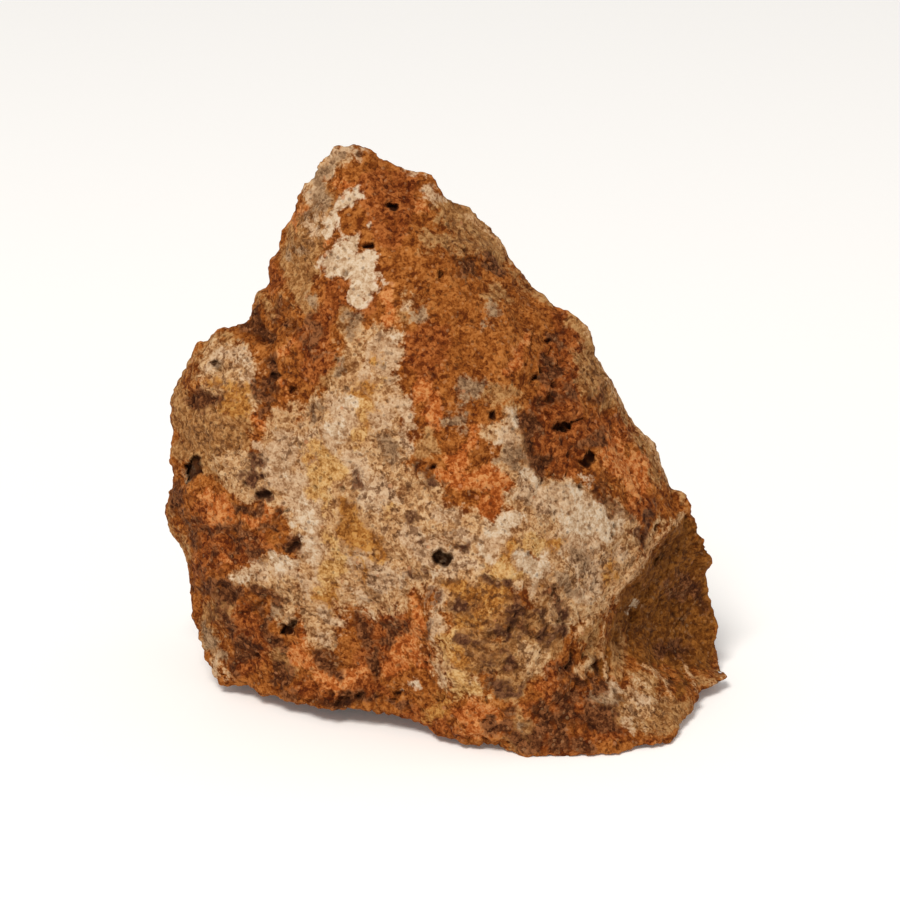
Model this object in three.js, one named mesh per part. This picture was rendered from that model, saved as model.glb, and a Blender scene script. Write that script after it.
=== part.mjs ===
// A hand-sized broken block of rhyolite tuff, modelled as one solid, in millimetres.
//
// X runs across the show side, Y runs back from it and Z is up. The stone stands on a flat break, and the
// origin is the middle of its bounding box at the level of that break.
//
// The shape is a net of corner points, the places where the broken faces of the stone meet or bend. The show
// side is drawn on a board that leans back through the stone, and its corners stand proud of the board or lie
// behind it. The far side is a second net that shares its outline. Each is a relief over the same board, so
// neither can fold over itself. The closed skin is cut into small triangles, worn a little and roughened.
import * as THREE from "three";
import { ConvexHull } from "three/addons/math/ConvexHull.js";
import { ImprovedNoise } from "three/addons/math/ImprovedNoise.js";

// ---- Driving dimensions -------------------------------------------------------------------------------

const LEAN = THREE.MathUtils.degToRad(20); // how far the board leans back from upright
const BOARD_FOOT = -19.5; // how far back the board's lower edge stands, on the level of the bed
const LINE_STEP = 4; // the outline and the ridge have a point at least this often
const LONGEST_EDGE = 6; // no triangle edge of the skin stays longer than this
const BED_LEVEL = 0; // the height of the flat break that the stone stands on
const LEAST_CLEARANCE = 0.35; // how far the rest of the skin stays above that level
const WEAR_ROUNDS = 3; // how often the skin is eased towards its neighbours
const WEAR = 0.5; // the share of the way that one round takes it

// Roughness of the broken faces: [size of the lumps, how far they push the skin in or out].
const LUMPS = [
  [16, 1.0],
  [8, 0.6],
];
const LINE_SHARE = 0.35; // the share of that roughness which the outline and the ridge take

// The stone's tuff, worn rusty.
const TUFF_COLOUR = 0xa9683a;
const TUFF_ROUGHNESS = 0.95;

// ---- Corner points of the show side -------------------------------------------------------------------

// Each is [across, up the board, proud of the board]. The outline, clockwise from the tip. Down the right
// flank to the knee above the scar:
const RIGHT_FLANK = [
  [-22.5, 117.5, 9], [-19, 117, 8], [-15.5, 115.5, 7], [-10, 113, 7], [-4, 112, 7], [-2.5, 110.5, 7],
  [-1, 107.5, 6], [2.5, 106, 3], [6, 103.5, 0], [10, 100, -1], [11.5, 97.5, -1], [13, 93.5, -2],
  [15, 90.5, -2], [18, 88.5, 0], [22, 85.5, 1], [25, 84, 2], [27.5, 82, 1], [29.5, 76, -3],
  [32, 71.5, -6], [37.5, 62.5, -12], [40.5, 59, -13], [45, 50, -14], [48, 48.5, -13], [49, 46, -13],
];

// Round the far edge of the scar, which ends in a sharp spike low on the right:
const SCAR_EDGE = [
  [51, 40.5, -16], [53, 37, -19], [54, 34, -22], [52.5, 31, -25], [54.5, 24, -28], [55.5, 20, -28],
  [54.5, 17, -28], [55.5, 13.5, -29], [56.5, 11.5, -24], [57, 10.5, -19],
];

// Along the foot, from the spike to the left corner. It stands on the bed's front edge in the middle, and
// overhangs the bed on both sides:
const FOOT = [
  [51.5, 8, -15], [50, 6, -10], [48, 3.5, -4], [46, 2, 0], [43.5, -1, 5], [41.5, -1.5, 7],
  [35.5, -2.5, 8], [32.5, -3.5, 10], [20, -3.5, 10], [15, -3.5, 10], [13.5, -3, 9], [9.5, -2, 8],
  [3, -1, 7], [0, 0, 6], [-2.5, 0, 5], [-4.5, 2, 3], [-11, 4.5, 0], [-20, 5, -1],
  [-24.5, 4.5, -2], [-31, 6, -6], [-37.5, 7.5, -11], [-41, 9, -15], [-48, 9.5, -19],
];

// Up the left flank, round the knob, past the notch above it and back to the tip:
const LEFT_FLANK = [
  [-51, 17.5, -20], [-53, 21.5, -21], [-54.5, 34, -21], [-57, 38, -21], [-58.5, 44, -20], [-58, 47, -19],
  [-56.5, 52, -15], [-57.5, 55, -14], [-56, 60, -12], [-57.5, 66.5, -12], [-56.5, 69.5, -11],
  [-55, 71, -10], [-53.5, 74.5, -8], [-50.5, 78.5, -6], [-45, 81, -3], [-40, 84, -1], [-39, 88, -2],
  [-36.5, 90, -2], [-36.5, 95, -1], [-34.5, 97.5, 0], [-33.5, 101, 0], [-31, 105, 2], [-29, 110, 5],
  [-27.5, 111, 6], [-24.5, 116.5, 9],
];

// The show face itself, in rows from the tip down to the belly:
const SHOW_FACE = [
  [-21, 113, 12], [-11, 109, 12], [-28, 105, 9], [-19, 104, 13], [-5, 104, 11], [3, 100, 8],
  [-32, 95, 6], [-22, 94, 14], [-10, 93, 16], [2, 92, 14], [11, 90, 6], [-34, 86, 5],
  [-27, 84, 13], [-17, 84, 17], [-6, 83, 19], [7, 83, 16], [17, 80, 10], [24, 77, 5],
  [-37, 78, 2], [-30, 75, 12], [-20, 73, 18], [-8, 73, 21], [6, 73, 20], [19, 71, 11],
  [28, 68, 4], [-33, 67, 9], [-23, 64, 15], [-11, 64, 19], [2, 64, 21], [14, 64, 18],
  [22, 60, 11], [32, 57, 5], [-38, 58, 5], [-30, 55, 9], [-20, 53, 14], [-9, 53, 19],
  [5, 52, 21], [17, 50, 16], [28, 49, 9], [38, 49, 0], [-40, 46, 2], [-28, 44, 8],
  [-17, 43, 13], [-5, 42, 18], [6, 40, 21], [16, 40, 19], [26, 39, 12], [35, 40, 4],
  [-49, 45, -5], [-49, 33, -8], [-38, 34, 0], [-28, 33, 5], [-17, 32, 9], [-6, 33, 15],
];

// The edge where the show face turns over into the steep right flank, down to the knee:
const RIGHT_SHOULDER = [
  [26, 80, 3], [30, 70, 0], [36, 59, -3], [42, 49, -5], [42, 43, -3],
];

// The rounded knob high on the left, with a hollow in its middle:
const KNOB = [
  [-48, 76, 0], [-42, 77, 4], [-51, 70, -2], [-42, 70, 6], [-48, 66, 0], [-52, 62, -4],
  [-45, 61, 3], [-52, 53, -6], [-45, 52, 1],
];

// The sharp ridge between the show face and the scar, from the knee down:
const RIDGE = [
  [46, 43, -9], [43.5, 40.5, -6], [40, 37, -3], [37, 32.5, 0], [33, 28.5, 3], [30.5, 25, 5],
  [27.5, 22, 8], [25, 20, 10], [22.5, 16, 11],
];

// The floor of the scar, a hollow where a flake has broken away, and the chipped rib beside the ridge:
const SCAR = [
  [50, 33, -22], [45, 32, -18], [41, 28, -14], [50, 24, -27], [44, 22, -20], [38, 21, -13],
  [50, 16, -28], [44, 16, -20], [37, 15, -10], [48, 12, -22], [42, 12.5, -16],
];
const CHIPPED_RIB = [
  [31, 22, 1], [30, 18, 2], [29, 13.5, 4], [27, 12, 8], [25, 17, 9],
];

// The lump that closes the scar at the bottom: its ragged lip, then its front:
const LIP = [
  [32.5, 10, 3], [35.5, 12.5, 1], [38.5, 14, -2], [42, 12, -4], [44.5, 8, -3], [49, 10, -11],
];
const LUMP = [
  [38, 7.5, 5], [34, 3.5, 8], [41, 4, 4],
];

// The spur that bulges forward below the belly, and the hollow on its left that runs down to the foot:
const SPUR = [
  [-3, 26, 16], [-3.5, 20, 14], [-2.5, 14, 13], [0, 9, 12], [8, 29, 21], [7, 23, 21],
  [17, 26, 18], [19, 21, 15], [8, 17, 18], [17, 15, 15], [5, 9, 15], [12, 8, 15],
  [21, 8, 12], [29, 5, 9], [14, 1.5, 12], [5, 2, 10],
];
const HOLLOW = [
  [-9, 25, 9], [-8, 16, 5], [-6, 8, 5], [-16, 21, 3], [-16, 12, 0], [-24, 24, 3],
  [-25, 13, -3], [-34, 20, -3], [-34, 12, -8], [-42, 22, -7], [-43, 15, -12], [-49, 22, -16],
];

// ---- Corner points of the far side --------------------------------------------------------------------

// Each is [across, back, up]. The edge where its two main breaks meet, from below the tip down, and a ledge
// to its left:
const BACK_EDGE = [
  [-17, 24, 101], [-13, 31, 92], [-5, 36, 80], [2, 40, 67], [9, 42, 54], [12, 46, 40], [16, 46, 26],
  [15, 44, 12],
];
const LEDGE = [
  [-6, 41, 62], [-16, 38, 60], [-27, 37, 55], [-38, 31, 54], [-48, 25, 50],
];

// Its faces: left of that edge above the ledge, left of it below the ledge, then right of it:
const UPPER_BACK = [
  [-28, 25, 93], [-22, 29, 86], [-14, 33, 76], [-32, 26, 77], [-24, 31, 70], [-12, 35, 67], [-42, 24, 64],
];
const LOWER_BACK = [
  [-50, 29, 40], [-40, 36, 46], [-28, 42, 47], [-13, 44, 50], [0, 45, 46], [-48, 32, 27], [-36, 41, 32],
  [-22, 46, 33], [-5, 48, 33], [6, 48, 20], [-44, 31, 12], [-32, 40, 13], [-16, 45, 15], [0, 46, 12],
];
const RIGHT_BACK = [
  [-4, 21, 98], [3, 25, 88], [4, 31, 79], [14, 24, 77], [22, 24, 68], [13, 33, 62], [28, 28, 55],
  [24, 35, 44], [36, 29, 42], [34, 33, 28], [46, 27, 30], [26, 41, 20], [40, 34, 13], [50, 27, 10],
  [28, 38, 9],
];

// The flat break underneath, each [across, back]. Its edge, from the right of where the foot stands on it,
// round the back, to the left of that place:
const BED_EDGE = [
  [42, -13], [45, -2], [47, 12], [45, 22], [37, 30], [25, 36], [10, 40], [-9, 40], [-25, 36], [-36, 29],
  [-43, 21], [-40, 14], [-31, 9], [-20, 6], [-10, 0], [0, -9], [7, -15], [13, -21], [21, -24],
];
const WITHIN_BED = [
  [33, -21], [30, -8], [16, -6], [30, 10], [2, 10], [16, 24], [-16, 20], [-30, 22], [-2, 28],
];

// ---- The skin -----------------------------------------------------------------------------------------

const noise = new ImprovedNoise();

/** Corners as vectors. */
function vectors(corners) {
  return corners.map((corner) => new THREE.Vector3(...corner));
}

/** Corners given on the board, as vectors. */
function fromBoard(corners) {
  return corners.map(([across, up, proud]) => {
    const back = BOARD_FOOT + up * Math.sin(LEAN) - proud * Math.cos(LEAN);
    return new THREE.Vector3(across, back, BED_LEVEL + up * Math.cos(LEAN) + proud * Math.sin(LEAN));
  });
}

/** Points along the curve through a line of corners, none of them below the bed. */
function alongCurve(corners, closed) {
  const curve = new THREE.CatmullRomCurve3(corners, closed);
  const spans = closed ? corners.length : corners.length - 1;
  const points = closed ? [] : [curve.getPoint(1)];
  for (let span = 0; span < spans; span++) {
    const length = curve.points[span].distanceTo(curve.points[(span + 1) % corners.length]);
    const steps = Math.ceil(length / LINE_STEP);
    for (let step = 0; step < steps; step++) points.push(curve.getPoint((span + step / steps) / spans));
  }
  for (const point of points) point.z = Math.max(point.z, BED_LEVEL);
  return points;
}

/** Where a point lies seen square to the board, as [across, up the board]. */
function onBoard(point) {
  return [point.x, (point.y - BOARD_FOOT) * Math.sin(LEAN) + (point.z - BED_LEVEL) * Math.cos(LEAN)];
}

/** Whether a place on the board lies within a closed loop on it. */
function isWithin(loop, [x, y]) {
  return loop.reduce((within, [x1, y1], i) => {
    const [x2, y2] = loop[(i + 1) % loop.length];
    const crosses = y1 > y !== y2 > y && x < x1 + ((x2 - x1) * (y - y1)) / (y2 - y1);
    return crosses ? !within : within;
  }, false);
}

/**
 * Joins the outline and the points within it into a relief that faces the viewer.
 *
 * Lifted onto a paraboloid over the board, the points have a lower hull, and its faces are the best shaped
 * triangles (Delaunay's). Those that fall outside the outline are left out.
 */
function reliefTriangles(outlineCount, points) {
  const places = points.map(onBoard);
  const lifted = places.map(([x, y]) => new THREE.Vector3(x, y, x * x + y * y));
  const numberOf = new Map(lifted.map((point, i) => [point, i]));
  const outline = places.slice(0, outlineCount);
  const triangles = [];
  for (const face of new ConvexHull().setFromPoints(lifted).faces) {
    const first = face.edge;
    const triangle = [first, first.next, first.next.next].map((edge) => numberOf.get(edge.head().point));
    const middle = [0, 1].map((axis) => triangle.reduce((sum, corner) => sum + places[corner][axis], 0) / 3);
    if (face.normal.z < 0 && isWithin(outline, middle)) triangles.push(triangle.reverse());
  }
  return triangles;
}

/** A relief cut into small triangles. */
function relief(outline, within) {
  const points = [...outline, ...within];
  return { points, triangles: refine(points, reliefTriangles(outline.length, points), outline.length) };
}

/**
 * Halves every edge over the longest allowed, again and again, so that the relief ends in small triangles.
 *
 * A chord, which joins two points of the outline across the stone, is halved whatever its length, so that the
 * two reliefs share only the outline.
 */
function refine(points, triangles, outlineCount) {
  const middles = new Map();
  const isChord = (a, b) => Math.max(a, b) < outlineCount && ![1, outlineCount - 1].includes(Math.abs(a - b));
  const middleOf = (a, b) => {
    if (points[a].distanceTo(points[b]) <= LONGEST_EDGE && !isChord(a, b)) return undefined;
    const key = a < b ? `${a}-${b}` : `${b}-${a}`;
    if (!middles.has(key)) middles.set(key, points.push(points[a].clone().lerp(points[b], 0.5)) - 1);
    return middles.get(key);
  };
  const finer = triangles.flatMap(([a, b, c]) => {
    return splitTriangle(a, b, c, middleOf(a, b), middleOf(b, c), middleOf(c, a));
  });
  return finer.length === triangles.length ? finer : refine(points, finer, outlineCount);
}

/** One triangle cut at whichever of its edges' middles exist: ab, bc and ca. */
function splitTriangle(a, b, c, ab, bc, ca) {
  const cuts = [ab, bc, ca].filter((middle) => middle !== undefined).length;
  if (cuts === 0) return [[a, b, c]];
  if (cuts === 3) return [[a, ab, ca], [ab, b, bc], [ca, bc, c], [ab, bc, ca]];
  if (ab === undefined) return splitTriangle(b, c, a, bc, ca, ab);
  if (cuts === 1) return [[a, ab, c], [ab, b, c]];
  if (bc === undefined) return splitTriangle(c, a, b, ca, ab, bc);
  return [[ab, b, bc], [a, ab, bc], [a, bc, c]];
}

/** The two reliefs as one closed net. Its first points are those of its lines, the outline and the ridge. */
function joinReliefs() {
  const onBed = ([across, back]) => [across, back, BED_LEVEL];
  const outline = alongCurve(fromBoard([...RIGHT_FLANK, ...SCAR_EDGE, ...FOOT, ...LEFT_FLANK]), true);
  const ridge = alongCurve(fromBoard(RIDGE), false);
  const face = fromBoard([
    ...SHOW_FACE, ...RIGHT_SHOULDER, ...KNOB, ...SCAR, ...CHIPPED_RIB, ...LIP, ...LUMP, ...SPUR, ...HOLLOW,
  ]);
  const back = vectors([...BACK_EDGE, ...LEDGE, ...UPPER_BACK, ...LOWER_BACK, ...RIGHT_BACK]);
  const bed = [...alongCurve(vectors(BED_EDGE.map(onBed)), false), ...vectors(WITHIN_BED.map(onBed))];

  const near = relief(outline, [...ridge, ...face]);
  const far = relief(outline, [...back, ...bed]);
  const added = near.points.length - outline.length;
  const pastNear = (corner) => (corner < outline.length ? corner : corner + added);
  return {
    points: [...near.points, ...far.points.slice(outline.length)],
    triangles: [...near.triangles, ...far.triangles.map(([a, b, c]) => [c, b, a].map(pastNear))],
    lineCount: outline.length + ridge.length,
  };
}

/** Eases the skin towards its neighbours, as wear does, but for the points that are kept. */
function wear(points, triangles, isKept) {
  const neighbours = points.map(() => new Set());
  for (const [a, b, c] of triangles) {
    neighbours[a].add(b).add(c);
    neighbours[b].add(c).add(a);
    neighbours[c].add(a).add(b);
  }
  for (let round = 0; round < WEAR_ROUNDS; round++) {
    const before = points.map((point) => point.clone());
    points.forEach((point, i) => {
      if (isKept(i)) return;
      const mean = new THREE.Vector3();
      for (const neighbour of neighbours[i]) mean.add(before[neighbour]);
      point.lerp(mean.divideScalar(neighbours[i].size), WEAR);
    });
  }
}

/** How far the lumps push the skin at a point. */
function lumpHeight(point) {
  return LUMPS.reduce((sum, [size, height], layer) => {
    const at = point.clone().divideScalar(size).addScalar(layer * 31.7);
    return sum + height * noise.noise(at.x, at.y, at.z);
  }, 0);
}

/** Roughens the skin along its own normals. The bed stays flat and nothing else sinks to its level. */
function roughen(geometry, lineCount) {
  geometry.computeVertexNormals();
  const position = geometry.getAttribute("position");
  const normal = geometry.getAttribute("normal");
  const point = new THREE.Vector3();
  const outward = new THREE.Vector3();
  for (let i = 0; i < position.count; i++) {
    point.fromBufferAttribute(position, i);
    if (point.z <= BED_LEVEL) continue;
    outward.fromBufferAttribute(normal, i);
    point.addScaledVector(outward, lumpHeight(point) * (i < lineCount ? LINE_SHARE : 1));
    point.z = Math.max(point.z, BED_LEVEL + LEAST_CLEARANCE);
    position.setXYZ(i, point.x, point.y, point.z);
  }
}

/** The stone's geometry, with the middle of its footprint's box at the origin. */
function stoneGeometry() {
  const { points, triangles, lineCount } = joinReliefs();
  wear(points, triangles, (i) => i < lineCount || points[i].z <= BED_LEVEL);
  const geometry = new THREE.BufferGeometry();
  geometry.setAttribute("position", new THREE.Float32BufferAttribute(points.flatMap((p) => p.toArray()), 3));
  geometry.setIndex(triangles.flat());
  roughen(geometry, lineCount);
  geometry.computeBoundingBox();
  const middle = geometry.boundingBox.getCenter(new THREE.Vector3());
  geometry.translate(-middle.x, -middle.y, -geometry.boundingBox.min.z);
  geometry.computeVertexNormals();
  return geometry;
}

const tuff = new THREE.MeshStandardMaterial({ color: TUFF_COLOUR, roughness: TUFF_ROUGHNESS, metalness: 0 });
const stone = new THREE.Mesh(stoneGeometry(), tuff);
stone.name = "tuff_block";

const specimen = new THREE.Group();
specimen.add(stone);

export default specimen;
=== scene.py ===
"""The looks of a hand-sized broken block of rhyolite tuff, worn rusty, with cream, ochre and white patches.

The block is one stone, so it is one piece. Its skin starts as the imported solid, is rounded and broken up into
sandy ground, pits and clasts, and is stained by strokes that are laid over the show side. The sides that the
strokes don't reach are stained by seeded noise, in like amounts.

Sizes and places are in millimetres, and become metres only where a mesh, a lamp or the camera is made. The
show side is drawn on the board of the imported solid, which leans back through the stone.
"""

import itertools
import logging
import math
from dataclasses import dataclass, field
from enum import Enum

import bmesh
import bpy
import numpy as np
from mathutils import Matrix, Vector


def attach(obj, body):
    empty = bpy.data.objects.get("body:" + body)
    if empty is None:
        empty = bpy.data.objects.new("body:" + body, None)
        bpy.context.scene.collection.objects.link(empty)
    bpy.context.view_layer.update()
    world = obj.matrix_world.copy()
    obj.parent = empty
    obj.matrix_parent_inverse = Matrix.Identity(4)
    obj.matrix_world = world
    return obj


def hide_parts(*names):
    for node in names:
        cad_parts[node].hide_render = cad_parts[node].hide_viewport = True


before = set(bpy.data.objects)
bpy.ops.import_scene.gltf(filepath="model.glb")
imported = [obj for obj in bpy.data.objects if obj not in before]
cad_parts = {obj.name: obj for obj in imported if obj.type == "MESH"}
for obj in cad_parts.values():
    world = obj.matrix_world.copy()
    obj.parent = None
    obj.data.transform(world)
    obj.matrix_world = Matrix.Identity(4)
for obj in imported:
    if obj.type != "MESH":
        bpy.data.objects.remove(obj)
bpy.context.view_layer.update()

log = logging.getLogger("tuff")

METRE = 1000.0  # millimetres in a metre
MIDDLE = 0.5  # the middle of a pattern's range
TINY = 1e-9  # stands in for a length of zero where one is divided by

Stroke = tuple[tuple[float, float, float], ...]  # across, up and the radius there
Colour = tuple[int, int, int]  # red, green and blue as a colour chart gives them, 0 to 255
Span = tuple[float, float]  # where a smooth step starts and ends
Push = tuple[float, float]  # the size and the strength of a noise, in mm
Weights = tuple[tuple[str, float], ...]  # patterns by name, each with its weight


def linear(colour: Colour) -> tuple[float, float, float, float]:
    """A chart colour as the light that it reflects, with full alpha."""
    shares = [part / 255.0 for part in colour]
    return (*[s / 12.92 if s <= 0.04045 else ((s + 0.055) / 1.055) ** 2.4 for s in shares], 1.0)


def eased(values: np.ndarray, start: float, end: float) -> np.ndarray:
    """A smooth step from 0 at start to 1 at end.

    Args:
        values: what is compared.
        start: where the step starts.
        end: where it ends, which may lie below start.

    Returns:
        The step's height for each value.
    """
    share = np.clip((values - start) / (end - start), 0.0, 1.0)
    return share * share * (3.0 - 2.0 * share)


# ---- The stone's colours ------------------------------------------------------------------------------


class Stain(Enum):
    """The stains of the stone, in the order in which they lie over the rusty ground."""

    BRICK = "brick"
    TAN = "tan"
    ORANGE = "orange"
    SAND = "sand"
    CREAM = "cream"
    GREY = "grey"
    OCHRE = "ochre"
    YELLOW = "yellow"
    SCAR = "scar"
    UMBER = "umber"
    SPECKLE = "speckle"
    WHITE = "white"
    PLUM = "plum"
    # A pale line along the ridges: partly worn, paler stone, and partly a painted highlight where they catch
    # the light.
    WORN_AND_LIT = "worn"


@dataclass(frozen=True)
class Finish:
    """How one stain looks.

    Attributes:
        dark: the colour of its gaps.
        mid: its main colour.
        light: the colour of its grains.
        fray: how far its edge wanders, beside a loose stain's.
        cover: how closed it is inside, in mm. A low value leaves holes, where what lies under it shows.
        relief: how rough its ground is, beside plain rust.
        share: how much of the unseen sides it covers.
        patch: how large its patches are there, in mm.
    """

    dark: Colour
    mid: Colour
    light: Colour
    fray: float = 1.0
    cover: float = 1.2
    relief: float = 1.0
    share: float = 0.1
    patch: float = 16.0


RUST = Finish((94, 41, 6), (147, 81, 27), (184, 115, 54))

FINISHES: dict[Stain, Finish] = {
    Stain.BRICK: Finish((76, 26, 3), (130, 64, 20), (178, 104, 49), 1.0, 1.2, 1.1, 0.18, 14.0),
    Stain.TAN: Finish((114, 70, 32), (160, 109, 60), (192, 145, 92), 1.0, 1.4, 0.9, 0.20, 20.0),
    Stain.ORANGE: Finish((135, 61, 14), (184, 101, 43), (212, 145, 86), 0.7, 1.8, 0.9, 0.10, 13.0),
    Stain.SAND: Finish((130, 85, 48), (189, 142, 94), (216, 178, 133), 1.0, 1.7, 0.8, 0.34, 24.0),
    Stain.CREAM: Finish((150, 110, 74), (194, 156, 118), (216, 184, 148), 0.9, 1.3, 0.6, 0.16, 18.0),
    Stain.GREY: Finish((92, 66, 45), (143, 109, 77), (180, 146, 110), 0.8, 1.3, 0.8, 0.10, 9.0),
    Stain.OCHRE: Finish((114, 64, 19), (164, 104, 43), (198, 144, 76), 0.9, 1.3, 0.8, 0.10, 12.0),
    Stain.YELLOW: Finish((143, 93, 39), (197, 147, 85), (219, 179, 122), 0.9, 1.2, 0.7, 0.08, 11.0),
    Stain.SCAR: Finish((89, 46, 9), (125, 73, 23), (156, 99, 41), 0.5, 3.0, 1.1, 0.12, 26.0),
    Stain.UMBER: Finish((44, 18, 4), (88, 48, 22), (144, 90, 52), 0.8, 1.2, 1.2, 0.12, 9.0),
    Stain.SPECKLE: Finish((64, 36, 16), (100, 62, 34), (140, 96, 60), 1.2, 1.4, 0.9, 0.30, 16.0),
    Stain.WHITE: Finish((172, 136, 100), (206, 176, 142), (222, 200, 172), 0.6, 2.0, 0.35, 0.02, 9.0),
    Stain.PLUM: Finish((45, 23, 11), (78, 45, 27), (122, 80, 51), 0.8, 1.1, 1.0, 0.03, 8.0),
    # The pale ridge line: partly worn stone, and partly a painted highlight on the lit edges.
    Stain.WORN_AND_LIT: Finish((132, 84, 44), (186, 136, 88), (216, 174, 128), 0.35, 0.6, 0.5, 0.0, 10.0),
}

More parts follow.
